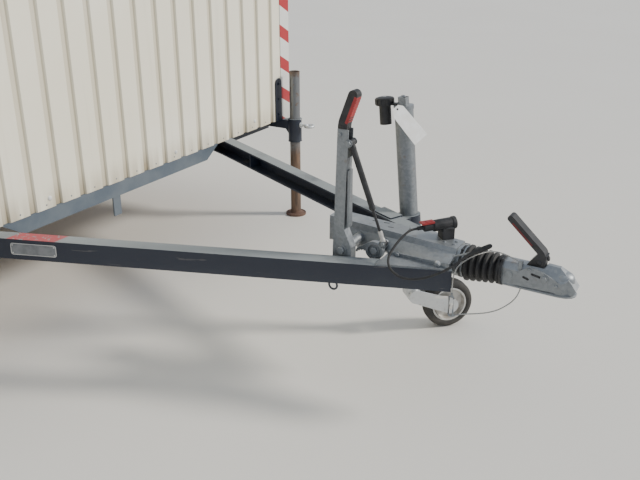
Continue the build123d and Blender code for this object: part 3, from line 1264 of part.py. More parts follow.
# Gas strut between the lever's notch and the ear of the brake ring
STRUT_EYE_R = 9.0
STRUT_LOW_EYE_HALF = 7.0
STRUT_R = 8.5
STRUT_BELOW_LEVER_TOP = 37.0
STRUT_AHEAD = 19.0
STRUT_TOP_EYE_HALF = LEVER_DEPTH / 2 - LEVER_T
STRUT_TOP = Vector(LEVER_MID_X + STRUT_AHEAD, LEVER_Y, LEVER_TOP_Z - STRUT_BELOW_LEVER_TOP)
STRUT_LOW = Vector(STRUT_LOW_EYE[0], SECTOR_FACE_Y - STRUT_LOW_EYE_HALF, STRUT_LOW_EYE[1])
STRUT_LENGTH = (STRUT_LOW - STRUT_TOP).length
STRUT_ROD_R = 4.0
STRUT_SHARE = 0.65
FORK_END_R = 6.0
FORK_END_LENGTH = 38.0
strut_plane = Plane(origin=STRUT_TOP, x_dir=(0, 1, 0), z_dir=STRUT_LOW - STRUT_TOP)
with BuildPart() as gas_strut:
    for radius, start, length in (
        (STRUT_R, 0, STRUT_LENGTH * STRUT_SHARE),
        (STRUT_ROD_R, 0, STRUT_LENGTH),
        (FORK_END_R, STRUT_LENGTH - FORK_END_LENGTH, FORK_END_LENGTH),
    ):
        with BuildSketch(strut_plane.offset(start)):
            Circle(radius)
        extrude(amount=length)
    for end_point, half in ((STRUT_TOP, STRUT_TOP_EYE_HALF), (STRUT_LOW, STRUT_LOW_EYE_HALF)):
        with BuildSketch(Plane(origin=end_point, x_dir=(1, 0, 0), z_dir=(0, -1, 0))):
            Circle(STRUT_EYE_R)
        extrude(amount=half, both=True)
    with BuildSketch(Plane.XZ.offset(-SECTOR_FACE_Y)):
        with Locations(STRUT_LOW_EYE):
            Circle(EAR_R + FORK_END_R)
    extrude(amount=-SECTOR_T, mode=Mode.SUBTRACT)
write_piece(gas_strut, "gas_strut")

# Jockey wheel: a leaning tube clamped outside the left beam, with a sliding leg, fork and wheel
LEAN_SIN = sin(radians(JOCKEY_LEAN))
LEAN_COS = cos(radians(JOCKEY_LEAN))
JOCKEY_AXIS = (-LEAN_SIN, 0, LEAN_COS)
JOCKEY_POINT = (FRONT_X + JOCKEY_X, JOCKEY_Y, JOCKEY_REF_Z)


def jockey_plane(z):
    """Plane across the jockey tube where its axis passes the given height."""
    rise = (z - JOCKEY_REF_Z) / LEAN_COS
    origin = Vector(JOCKEY_POINT) + Vector(JOCKEY_AXIS) * rise
    return Plane(origin=origin, x_dir=(LEAN_COS, 0, LEAN_SIN), z_dir=JOCKEY_AXIS)


def jockey_rise(low_z, top_z):
    """Length along the leaning tube between two heights."""
    return (top_z - low_z) / LEAN_COS


JOCKEY_LEG_R = JOCKEY_TUBE_R - JOCKEY_TUBE_T - JOCKEY_LEG_GAP
JOCKEY_CAP_T = 12.0
JOCKEY_CAP_LIP = 2.0
with BuildPart() as jockey_tube:
    with BuildSketch(jockey_plane(JOCKEY_TUBE_LOW_Z)):
        Circle(JOCKEY_TUBE_R)
        Circle(JOCKEY_TUBE_R - JOCKEY_TUBE_T, mode=Mode.SUBTRACT)
    extrude(amount=jockey_rise(JOCKEY_TUBE_LOW_Z, JOCKEY_TOP_Z))
    with BuildSketch(jockey_plane(JOCKEY_TOP_Z)):
        Circle(JOCKEY_TUBE_R + JOCKEY_CAP_LIP)
    extrude(amount=JOCKEY_CAP_T)
write_piece(jockey_tube, "jockey_tube")

# Clamp: a plate over the beam's edge, a bracket on its web and a ring round the tube
CLAMP_H = 46.0
CLAMP_RING_R = 38.0
CLAMP_RUN = JOCKEY_X * BEAM_COS + (BEAM_WALL_Y - JOCKEY_Y) * BEAM_SIN
CLAMP_REACH = JOCKEY_X * BEAM_SIN - (BEAM_WALL_Y - JOCKEY_Y) * BEAM_COS
CLAMP_Z = beam_top(CLAMP_RUN) - BEAM_H / 2
CLAMP_LENGTH = 60.0
PLATE_START = CLAMP_RUN - 68.0
PLATE_END = CLAMP_RUN + 20.0
PLATE_H = 5.0
PLATE_T = 6.0
PLATE_DEPTH = 44.0
with BuildPart() as jockey_clamp:
    with BuildSketch(BEAM_PLANE):
        with Locations((CLAMP_RUN, CLAMP_Z)):
            Rectangle(CLAMP_LENGTH, CLAMP_H)
    extrude(amount=-CLAMP_REACH)
    with BuildSketch(BEAM_PLANE):
        Polygon(
            (PLATE_START, CLAMP_Z),
            (PLATE_END, CLAMP_Z),
            (PLATE_END, beam_top(PLATE_END) + PLATE_H),
            (PLATE_START, beam_top(PLATE_START) + PLATE_H),
            align=None,
        )
    extrude(amount=-PLATE_T)
    with BuildSketch(BEAM_PLANE):
        Polygon(
            (PLATE_START, beam_top(PLATE_START)),
            (PLATE_END, beam_top(PLATE_END)),
            (PLATE_END, beam_top(PLATE_END) + PLATE_H),
            (PLATE_START, beam_top(PLATE_START) + PLATE_H),
            align=None,
        )
    extrude(amount=PLATE_DEPTH)
    with BuildSketch(jockey_plane(CLAMP_Z - CLAMP_H / 2)):
        Circle(CLAMP_RING_R)
    extrude(amount=CLAMP_H)
    with BuildSketch(jockey_plane(CLAMP_Z - 2 * CLAMP_H)):
        Circle(JOCKEY_TUBE_R)
    extrude(amount=4 * CLAMP_H, mode=Mode.SUBTRACT)
write_piece(jockey_clamp, "jockey_clamp")

# Crank: a square hub, a flat bar and a mushroom knob that hangs beside the tube
CRANK_REACH = 66.0
CRANK_BAR_W = 20.0
CRANK_BAR_T = 6.0
HUB_SIDE = 25.0
HUB_H = 26.0
KNOB_NECK_R = 19.0
KNOB_HEAD_R = 29.0
KNOB_HEAD_H = 22.0
KNOB_DROP = 62.0
crank_plane = jockey_plane(JOCKEY_TOP_Z + JOCKEY_CAP_T * LEAN_COS)
with BuildPart() as jockey_crank:
    with BuildSketch(crank_plane):
        with Locations((-CRANK_REACH / 2, 0)):
            SlotOverall(CRANK_REACH + CRANK_BAR_W, CRANK_BAR_W)
    extrude(amount=CRANK_BAR_T)
    with BuildSketch(crank_plane):
        Rectangle(HUB_SIDE, HUB_SIDE)
    extrude(amount=HUB_H)
    with BuildSketch(crank_plane.offset(-KNOB_DROP)):
        with Locations((-CRANK_REACH, 0)):
            Circle(KNOB_NECK_R)
    extrude(amount=KNOB_DROP)
    with BuildSketch(crank_plane):
        with Locations((-CRANK_REACH, 0)):
            Circle(KNOB_HEAD_R)
    extrude(amount=KNOB_HEAD_H)
write_piece(jockey_crank, "jockey_crank")

# Leg and fork. The fork points outward at JOCKEY_TURN from the direction of travel.
TURN_COS = cos(radians(JOCKEY_TURN))
TURN_SIN = sin(radians(JOCKEY_TURN))
LEG_IN_TUBE = 150.0
LEG_TOP_Z = JOCKEY_TOP_Z - LEG_IN_TUBE
FORK_FOOT_R = 24.0
FORK_HUB_R = 28.0
FORK_T = 4.0
FORK_GAP = 6.0
FORK_INNER = JOCKEY_WHEEL_W / 2 + FORK_GAP
FORK_FOOT_Z = JOCKEY_WHEEL_R + JOCKEY_FOOT_ABOVE_HUB
JOCKEY_PIN_R = 8.0
foot_point = Vector(JOCKEY_POINT) + Vector(JOCKEY_AXIS) * ((FORK_FOOT_Z - JOCKEY_REF_Z) / LEAN_COS)
fork_plane = Plane(origin=foot_point, x_dir=(TURN_COS, TURN_SIN, 0), z_dir=(TURN_SIN, -TURN_COS, 0))
HUB_RISE = JOCKEY_WHEEL_R - FORK_FOOT_Z
with BuildPart() as jockey_leg:
    with BuildSketch(jockey_plane(FORK_FOOT_Z)):
        Circle(JOCKEY_LEG_R)
    extrude(amount=jockey_rise(FORK_FOOT_Z, LEG_TOP_Z))
    with BuildSketch(fork_plane.offset(-FORK_INNER - FORK_T)):
        Circle(FORK_FOOT_R)
    extrude(amount=2 * (FORK_INNER + FORK_T))
    for offset_along in (-FORK_INNER - FORK_T, FORK_INNER):
        with BuildSketch(fork_plane.offset(offset_along)):
            make_hull(
                [
                    Edge.make_circle(FORK_FOOT_R, Plane((0, 0, 0))),
                    Edge.make_circle(FORK_HUB_R, Plane((JOCKEY_TRAIL, HUB_RISE, 0))),
                ]
            )
        extrude(amount=FORK_T)
    with BuildSketch(fork_plane.offset(-FORK_INNER - FORK_T)):
        with Locations((JOCKEY_TRAIL, HUB_RISE)):
            Circle(JOCKEY_PIN_R)
    extrude(amount=2 * (FORK_INNER + FORK_T))
write_piece(jockey_leg, "jockey_leg")

# Jockey wheel: a bored rim with a solid tyre
JOCKEY_RIM_R = 62.0
JOCKEY_HUB_R = 17.0
DISC_ROOT_R = 20.0
DISC_HALF = 6.0
RIM_LIP = 4.0
RIM_WELL = 5.0
TREAD_CROWN = 14.0
JOCKEY_HUB_HALF = FORK_INNER - SOCKET_GAP
hub_point = fork_plane.from_local_coords((JOCKEY_TRAIL, HUB_RISE, 0))
jockey_wheel_plane = Plane(origin=hub_point, x_dir=(TURN_SIN, -TURN_COS, 0), z_dir=(TURN_COS, TURN_SIN, 0))
jockey_wheel_axis = Axis(hub_point, (TURN_SIN, -TURN_COS, 0))
half_w = JOCKEY_WHEEL_W / 2
with BuildPart() as jockey_rim:
    with BuildSketch(jockey_wheel_plane):
        Polygon(
            (-JOCKEY_HUB_HALF, JOCKEY_PIN_R + PIN_GAP),
            (-JOCKEY_HUB_HALF, JOCKEY_HUB_R),
            (-DISC_HALF, DISC_ROOT_R),
            (-DISC_HALF, JOCKEY_RIM_R - 2 * RIM_WELL),
            (RIM_LIP - half_w, JOCKEY_RIM_R - RIM_WELL),
            (RIM_LIP - half_w, JOCKEY_RIM_R),
            (half_w - RIM_LIP, JOCKEY_RIM_R),
            (half_w - RIM_LIP, JOCKEY_RIM_R - RIM_WELL),
            (DISC_HALF, JOCKEY_RIM_R - 2 * RIM_WELL),
            (DISC_HALF, DISC_ROOT_R),
            (JOCKEY_HUB_HALF, JOCKEY_HUB_R),
            (JOCKEY_HUB_HALF, JOCKEY_PIN_R + PIN_GAP),
            align=None,
        )
    revolve(axis=jockey_wheel_axis)
write_piece(jockey_rim, "jockey_rim")

with BuildPart() as jockey_tyre:
    with BuildSketch(jockey_wheel_plane):
        with BuildLine():
            Polyline(
                (-half_w, JOCKEY_WHEEL_R - TREAD_CROWN),
                (RIM_LIP - half_w, JOCKEY_RIM_R + SEAT_GAP),
                (half_w - RIM_LIP, JOCKEY_RIM_R + SEAT_GAP),
                (half_w, JOCKEY_WHEEL_R - TREAD_CROWN),
            )
            ThreePointArc(
                (half_w, JOCKEY_WHEEL_R - TREAD_CROWN),
                (0, JOCKEY_WHEEL_R),
                (-half_w, JOCKEY_WHEEL_R - TREAD_CROWN),
            )
        make_face()
    revolve(axis=jockey_wheel_axis)
write_piece(jockey_tyre, "jockey_tyre")

# Rear step: a tread frame with grating bars, hung from the floor by two side plates
STEP_OUT_X = REAR_X - STEP_REACH
STEP_PLATE_T = 6.0
STEP_BAR_T = 4.0
STEP_BAR_COUNT = 9
HANGER_TOP_W = 60.0
HANGER_FRONT_H = 90.0
HANGER_TOE = 40.0
HANGER_LIP = 10.0
HANGER_FRONT_X = RAIL_REAR_X
with BuildPart() as rear_step:
    with BuildSketch(Plane.XY.offset(STEP_Z)):
        with Locations((STEP_OUT_X + STEP_TREAD / 2, 0)):
            Rectangle(STEP_TREAD, STEP_WIDTH)
            Rectangle(STEP_TREAD - 2 * STEP_PLATE_T, STEP_WIDTH - 2 * STEP_PLATE_T, mode=Mode.SUBTRACT)
        bar_pitch = STEP_TREAD / (STEP_BAR_COUNT + 1)
        with Locations((STEP_OUT_X + STEP_TREAD / 2, 0)):
            with GridLocations(bar_pitch, 0, STEP_BAR_COUNT, 1):
                Rectangle(STEP_BAR_T, STEP_WIDTH)
    extrude(amount=-STEP_T)
    for side in (1, -1):
        with BuildSketch(Plane.XZ.offset(-side * STEP_WIDTH / 2)):
            Polygon(
                (HANGER_FRONT_X, SILL_Z),
                (HANGER_FRONT_X - HANGER_TOP_W, SILL_Z),
                (STEP_OUT_X + STEP_TREAD, STEP_Z + HANGER_LIP),
                (STEP_OUT_X + HANGER_TOE, STEP_Z),
                (STEP_OUT_X + HANGER_TOE, STEP_Z - STEP_T),
                (STEP_OUT_X + STEP_TREAD + HANGER_TOE, STEP_Z - STEP_T),
                (HANGER_FRONT_X, SILL_Z - HANGER_FRONT_H),
                align=None,
            )
        extrude(amount=-side * STEP_PLATE_T)
write_piece(rear_step, "rear_step")

# Lamp boards under the rear wall, the lamps on them, and reflectors
BOARD_STEP_ROOM = 30.0
BOARD_POST_ROOM = 20.0
BOARD_INNER_Y = STEP_WIDTH / 2 + BOARD_STEP_ROOM
BOARD_OUTER_Y = HALF_WIDTH - POST_WIDTH - BOARD_POST_ROOM
BOARD_T = 18.0
with BuildPart() as lamp_boards:
    with BuildSketch(Plane.YZ.offset(REAR_FACE_X)):
        for side in (1, -1):
            with Locations((side * (BOARD_INNER_Y + BOARD_OUTER_Y) / 2, SILL_Z - LAMP_BAR_H / 2)):
                Rectangle(BOARD_OUTER_Y - BOARD_INNER_Y, LAMP_BAR_H)
    extrude(amount=BOARD_T)
write_piece(lamp_boards, "lamp_boards")

LAMP_EDGE_ROOM = 20.0
LAMP_CORNER = 12.0
LAMP_MID_Y = BOARD_OUTER_Y - LAMP_W / 2 - LAMP_EDGE_ROOM
with BuildPart() as rear_lamps:
    with BuildSketch(Plane.YZ.offset(REAR_FACE_X)):
        with Locations((LAMP_MID_Y, SILL_Z - LAMP_BAR_H / 2), (-LAMP_MID_Y, SILL_Z - LAMP_BAR_H / 2)):
            RectangleRounded(LAMP_W, LAMP_H, LAMP_CORNER)
    extrude(amount=-LAMP_T)
write_piece(rear_lamps, "rear_lamps")

REFLECTOR_T = 8.0
REFLECTOR_FROM_STEP = 100.0
REFLECTOR_Y = BOARD_INNER_Y + REFLECTOR_FROM_STEP
REFLECTOR_Z = SILL_Z - LAMP_BAR_H / 2
with BuildPart() as rear_reflectors:
    with BuildSketch(Plane.YZ.offset(REAR_FACE_X)):
        with Locations((REFLECTOR_Y, REFLECTOR_Z), (-REFLECTOR_Y, REFLECTOR_Z)):
            RegularPolygon(radius=LAMP_BAR_H / 2, side_count=3, rotation=90)
    extrude(amount=-REFLECTOR_T)
write_piece(rear_reflectors, "rear_reflectors")

SIDE_REFLECTOR_R = 30.0
SIDE_REFLECTOR_ABOVE_SILL = 42.0
SIDE_REFLECTOR_Z = SILL_Z + SIDE_REFLECTOR_ABOVE_SILL
SIDE_REFLECTOR_X = 620.0
sheet_mid_x = (FRONT_X + REAR_X) / 2
flat_centres = [sheet_mid_x + x + GROOVE_PITCH / 2 for x in groove_centres(SIDE_SHEET_SPAN)]


def nearest_flat(x):
    """The sheet's flat whose middle lies nearest to a place along the side wall."""
    return min(flat_centres, key=lambda centre: abs(centre - x))


with BuildPart() as side_reflectors:
    for side in (1, -1):
        with BuildSketch(Plane.XZ.offset(-side * FACE_Y)):
            for x in (FRONT_X - SIDE_REFLECTOR_X, REAR_X + SIDE_REFLECTOR_X):
                with Locations((nearest_flat(x), SIDE_REFLECTOR_Z)):
                    Circle(SIDE_REFLECTOR_R)
        extrude(amount=-side * REFLECTOR_T)
write_piece(side_reflectors, "side_reflectors")

# Straps with round tops that tie the front wall to the frame beside each post
STRAP_W = 46.0
STRAP_LENGTH = 195.0
STRAP_TOP_Z = SILL_Z + STRAP_LENGTH
STRAP_T = 6.0
STRAP_POST_ROOM = 1.0
STRAP_Y = HALF_WIDTH - POST_WIDTH - STRAP_POST_ROOM - STRAP_W / 2
with BuildPart() as tie_straps:
    with BuildSketch(Plane.YZ.offset(FRONT_X - POST_T)):
        for side in (1, -1):
            with Locations((side * STRAP_Y, SILL_Z)):
                Rectangle(STRAP_W, STRAP_TOP_Z - STRAP_W / 2 - SILL_Z, align=(Align.CENTER, Align.MIN))
            with Locations((side * STRAP_Y, STRAP_TOP_Z - STRAP_W / 2)):
                Circle(STRAP_W / 2)
    extrude(amount=STRAP_T)
write_piece(tie_straps, "tie_straps")

# Cables at the coupling. A cable's tube is straight runs joined by arcs, each arc as large as its runs allow.
ARC_SHARE = 0.45


def cable_tube(name, points, radius):
    """Sweep a round section along straight runs joined by arcs, and print how tight it turns."""
    radii = []
    for before, here, after in zip(points, points[1:], points[2:]):
        turn = (here - before).get_angle(after - here)
        shorter = min((here - before).length, (after - here).length)
        radii.append(ARC_SHARE * shorter / tan(radians(turn / 2)))
    with BuildPart() as tube:
        with BuildLine() as path:
            FilletPolyline(*points, radius=radii)
        with BuildSketch(Plane(origin=points[0], z_dir=points[1] - points[0])):
            Circle(radius)
        sweep()
    length = path.wire().length
    filled = tube.part.volume / (pi * radius * radius * length)
    print(f"{name}: length {length:.0f}, radii {min(radii):.1f} and up, volume {filled:.4f}")
    write_piece(tube, name)


cable_tube("electric_cable", electric_points, CABLE_R)
cable_tube("breakaway_cable", breakaway_points, BREAKAWAY_R)
cable_tube("breakaway_loop", loop_points, BREAKAWAY_R)

# Plug: tail, terminal body with its raised lid, barrel and rim, along its own axis
PLUG_STEPS = (
    # radius, start, end
    (7.0, 0.0, 24.0),
    (13.0, 18.0, 50.0),
    (PLUG_R, 48.0, PLUG_LENGTH),
    (PLUG_R + 2.0, PLUG_LENGTH - 6.0, PLUG_LENGTH),
)
LID_LENGTH = 40.0
LID_W = 26.0
LID_T = 18.0
LID_START = 12.0
with BuildPart() as trailer_plug:
    for radius, start, end in PLUG_STEPS:
        with BuildSketch(PLUG_PLANE.offset(start)):
            Circle(radius)
        extrude(amount=end - start)
    with BuildSketch(PLUG_PLANE.offset(LID_START)):
        Rectangle(LID_W, LID_T, align=(Align.CENTER, Align.MIN))
    extrude(amount=LID_LENGTH)
write_piece(trailer_plug, "trailer_plug")

# Hook of the breakaway cable: a long wire ring with a ferrule at each end
HOOK_W = 18.0
HOOK_WIRE_R = 2.5
HOOK_FERRULE_LENGTH = 12.0
HOOK_TOP = breakaway_points[-1]
HOOK_LOW = loop_points[0]
HOOK_TOP_Z = HOOK_TOP.Z - HOOK_FERRULE_LENGTH
HOOK_LOW_Z = HOOK_LOW.Z
HOOK_LENGTH = HOOK_TOP_Z - HOOK_LOW_Z
HOOK_PLANE = Plane(
    origin=(HOOK_TOP.X, HOOK_TOP.Y, (HOOK_TOP_Z + HOOK_LOW_Z) / 2),
    x_dir=(0, 0, 1),
    z_dir=(0, 1, 0),
)
with BuildPart() as breakaway_hook:
    with BuildSketch(HOOK_PLANE):
        SlotOverall(HOOK_LENGTH + 2 * HOOK_WIRE_R, HOOK_W)
        SlotOverall(HOOK_LENGTH - 2 * HOOK_WIRE_R, HOOK_W - 4 * HOOK_WIRE_R, mode=Mode.SUBTRACT)
    extrude(amount=HOOK_WIRE_R, both=True)
    for end_point, next_point in ((HOOK_TOP, breakaway_points[-2]), (HOOK_LOW, loop_points[1])):
        with BuildSketch(Plane(origin=end_point, z_dir=end_point - next_point)):
            Circle(CABLE_FERRULE_R)
        extrude(amount=HOOK_FERRULE_LENGTH)
write_piece(breakaway_hook, "breakaway_hook")
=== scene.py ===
"""Scene of a construction site wagon: camera, light, finishes and the detailed pieces on the fixed frame.

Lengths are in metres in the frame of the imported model: +X forward, +Y to the wagon's left, +Z up, z = 0
on the ground. In the fields of the sub-assemblies:
- a place of three numbers lies ahead of the front wall, to the left and above the ground
- a Profile is an outline turned about an axis, in rows of distance along it and radius
- a block has half its length, width and height, and the head of a screw or rivet its radius and height
"""
import json
import logging
from collections.abc import Mapping, Sequence
from dataclasses import dataclass
from enum import Enum
from math import cos, pi, radians, sin

import bmesh
import bpy
from bpy.types import Material, Node, NodeSocket, Object
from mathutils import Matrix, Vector

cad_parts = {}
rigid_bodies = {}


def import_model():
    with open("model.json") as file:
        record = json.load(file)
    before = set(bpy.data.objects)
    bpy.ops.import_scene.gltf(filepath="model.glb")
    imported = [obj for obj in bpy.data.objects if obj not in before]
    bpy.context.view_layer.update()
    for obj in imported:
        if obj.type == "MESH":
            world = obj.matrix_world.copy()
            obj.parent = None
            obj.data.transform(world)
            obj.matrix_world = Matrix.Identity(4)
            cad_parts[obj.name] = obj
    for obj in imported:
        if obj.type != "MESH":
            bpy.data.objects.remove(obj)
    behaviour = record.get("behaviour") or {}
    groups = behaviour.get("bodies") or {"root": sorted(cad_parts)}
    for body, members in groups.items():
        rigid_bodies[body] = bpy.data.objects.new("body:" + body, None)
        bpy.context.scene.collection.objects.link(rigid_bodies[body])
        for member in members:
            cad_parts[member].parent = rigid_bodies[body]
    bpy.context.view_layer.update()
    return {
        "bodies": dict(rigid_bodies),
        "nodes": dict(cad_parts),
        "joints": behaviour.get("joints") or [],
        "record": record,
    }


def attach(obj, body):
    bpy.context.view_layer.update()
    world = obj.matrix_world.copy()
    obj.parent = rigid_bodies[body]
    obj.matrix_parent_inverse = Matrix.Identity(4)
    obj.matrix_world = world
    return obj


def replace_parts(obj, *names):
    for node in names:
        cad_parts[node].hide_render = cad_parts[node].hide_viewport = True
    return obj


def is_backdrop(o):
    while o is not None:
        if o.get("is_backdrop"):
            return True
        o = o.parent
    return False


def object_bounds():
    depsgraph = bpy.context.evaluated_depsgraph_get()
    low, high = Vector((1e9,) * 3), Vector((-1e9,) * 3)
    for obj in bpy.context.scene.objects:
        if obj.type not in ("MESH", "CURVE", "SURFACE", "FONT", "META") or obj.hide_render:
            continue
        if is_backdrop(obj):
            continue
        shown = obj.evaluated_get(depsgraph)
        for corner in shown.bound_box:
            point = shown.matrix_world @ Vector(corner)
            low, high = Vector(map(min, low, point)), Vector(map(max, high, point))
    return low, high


LOG = logging.getLogger("site_wagon")
Pair = tuple[float, float]
Triple = tuple[float, float, float]
Colour = Triple
Points = Sequence[Vector]
Profile = Sequence[Pair]
Sockets = Mapping[object, object]
BODY_LENGTH = 4.5
FRONT_X = 1.587
REAR_X = FRONT_X - BODY_LENGTH
POST_SIDE = 1.09
AHEAD = Vector((1.0, 0.0, 0.0))
UP = Vector((0.0, 0.0, 1.0))
SHARP = radians(34.0)
MERGE = 1e-6


class Slot(Enum):
    """Finishes, by the names of their material slots."""

    SHEET = "sheet"
    POST = "post"
    ROOF_SKIN = "roof_skin"
    FLOOR = "floor"
    DRAWBAR = "drawbar"
    SILL = "sill"
    GALVANISED = "galvanised"
    PROP_STEEL = "prop_steel"
    BLACK_PLASTIC = "black_plastic"
    WIRE_ROPE = "wire_rope"
    RUBBER = "rubber"
    TYRE = "tyre"
    WHEEL_STEEL = "wheel_steel"
    WINDOW_FRAME = "window_frame"
    GLASS = "glass"
    LAMP_LENS = "lamp_lens"
    REFLECTOR_RED = "reflector_red"
    REFLECTOR_ORANGE = "reflector_orange"
    RED_PLASTIC = "red_plastic"
    # Darker copy of the red plastic: painted shade.
    DULL_RED = "dull_red"
    WHITE_PAINT = "white_paint"
    PLATE_GREY = "plate_grey"
    BRIGHT_ZINC = "bright_zinc"
    PAPER = "paper"


class Carrier(Enum):
    """Bodies that carry pieces."""

    WAGON = "wagon"
    DOOR = "door"
    WHEEL_LEFT = "wheel_left"
    WHEEL_RIGHT = "wheel_right"
    PROP_FRONT_LEFT = "prop_front_left"
    PROP_FRONT_RIGHT = "prop_front_right"
    PROP_REAR_LEFT = "prop_rear_left"
    PROP_REAR_RIGHT = "prop_rear_right"
    JOCKEY_LEG = "jockey_leg"
    JOCKEY_WHEEL = "jockey_wheel"


class Side(Enum):
    """Sides of the wagon, with the sign of their distances from its middle."""

    RIGHT = -1.0
    LEFT = 1.0

    @property
    def label(self) -> str:
        """The side's word in the names of pieces."""
        return self.name.lower()

    @property
    def out(self) -> Vector:
        """Level direction out of the side."""
        return Vector((0.0, self.value, 0.0))


class End(Enum):
    """Ends of the wagon, with the sign of their direction."""

    FRONT = 1.0
    REAR = -1.0

    @property
    def label(self) -> str:
        """The end's word in the names of pieces."""
        return self.name.lower()

    @property
    def out(self) -> Vector:
        """Level direction out of the end."""
        return AHEAD * self.value


class FarEnd(Enum):
    """What is on the far end of a free cable."""

    PLUG = "plug"
    FITTING = "fitting"


class Value:
    """A number socket of a shader tree, with the arithmetic that masks need."""

    def __init__(self, tree: "Tree", socket: NodeSocket) -> None:
        """Keep the socket and the tree that it belongs to."""
        self.tree = tree
        self.socket = socket

    def _maths(self, operation: str, *operands: "Value | float", clamp: bool = False) -> "Value":
        """Add a Math node.

        Args:
            operation: The node's operation.
            operands: Numbers or values, in the order of the node's inputs.
            clamp: Whether the result is held between 0 and 1.

        Returns:
            The node's result.
        """
        settings = {"operation": operation, "use_clamp": clamp}
        node = self.tree.node("ShaderNodeMath", settings, dict(enumerate(operands)))
        return Value(self.tree, node.outputs[0])

    def __add__(self, other: "Value | float") -> "Value":
        """Sum."""
        return self._maths("ADD", self, other)

    def __radd__(self, other: float) -> "Value":
        """Sum with a number on the left."""
        return self._maths("ADD", other, self)

    def __sub__(self, other: "Value | float") -> "Value":
        """Difference."""
        return self._maths("SUBTRACT", self, other)

    def __rsub__(self, other: float) -> "Value":
        """Difference from a number on the left."""
        return self._maths("SUBTRACT", other, self)

    def __mul__(self, other: "Value | float") -> "Value":
        """Product."""
        return self._maths("MULTIPLY", self, other)

    def __rmul__(self, other: float) -> "Value":
        """Product with a number on the left."""
        return self._maths("MULTIPLY", other, self)

    def clamped(self) -> "Value":
        """The value held between 0 and 1."""
        return self._maths("ADD", self, 0.0, clamp=True)

    def absolute(self) -> "Value":
        """The value without its sign."""
        return self._maths("ABSOLUTE", self)

    def wrapped(self, period: float) -> "Value":
        """The value's remainder in a period, from 0 up to the period."""
        return self._maths("WRAP", self, period, 0.0)

    def larger(self, other: "Value | float") -> "Value":
        """The larger of two values."""
        return self._maths("MAXIMUM", self, other)

    def smaller(self, other: "Value | float") -> "Value":
        """The smaller of two values."""
        return self._maths("MINIMUM", self, other)

    def step(self, low: float, high: float) -> "Value":
        """Rise smoothly from 0 at the low value to 1 at the high one.

        Args:
            low: Value where the step begins.
            high: Value where it ends; when lower than the first, the step falls instead.

        Returns:
            The step, between 0 and 1.
        """
        falling = high < low
        first, last = (high, low) if falling else (low, high)
        ends = (1.0, 0.0) if falling else (0.0, 1.0)
        node = self.tree.node(
            "ShaderNodeMapRange",
            {"interpolation_type": "SMOOTHSTEP", "clamp": True},
            {"Value": self, "From Min": first, "From Max": last, "To Min": ends[0], "To Max": ends[1]},
        )
        return Value(self.tree, node.outputs["Result"])


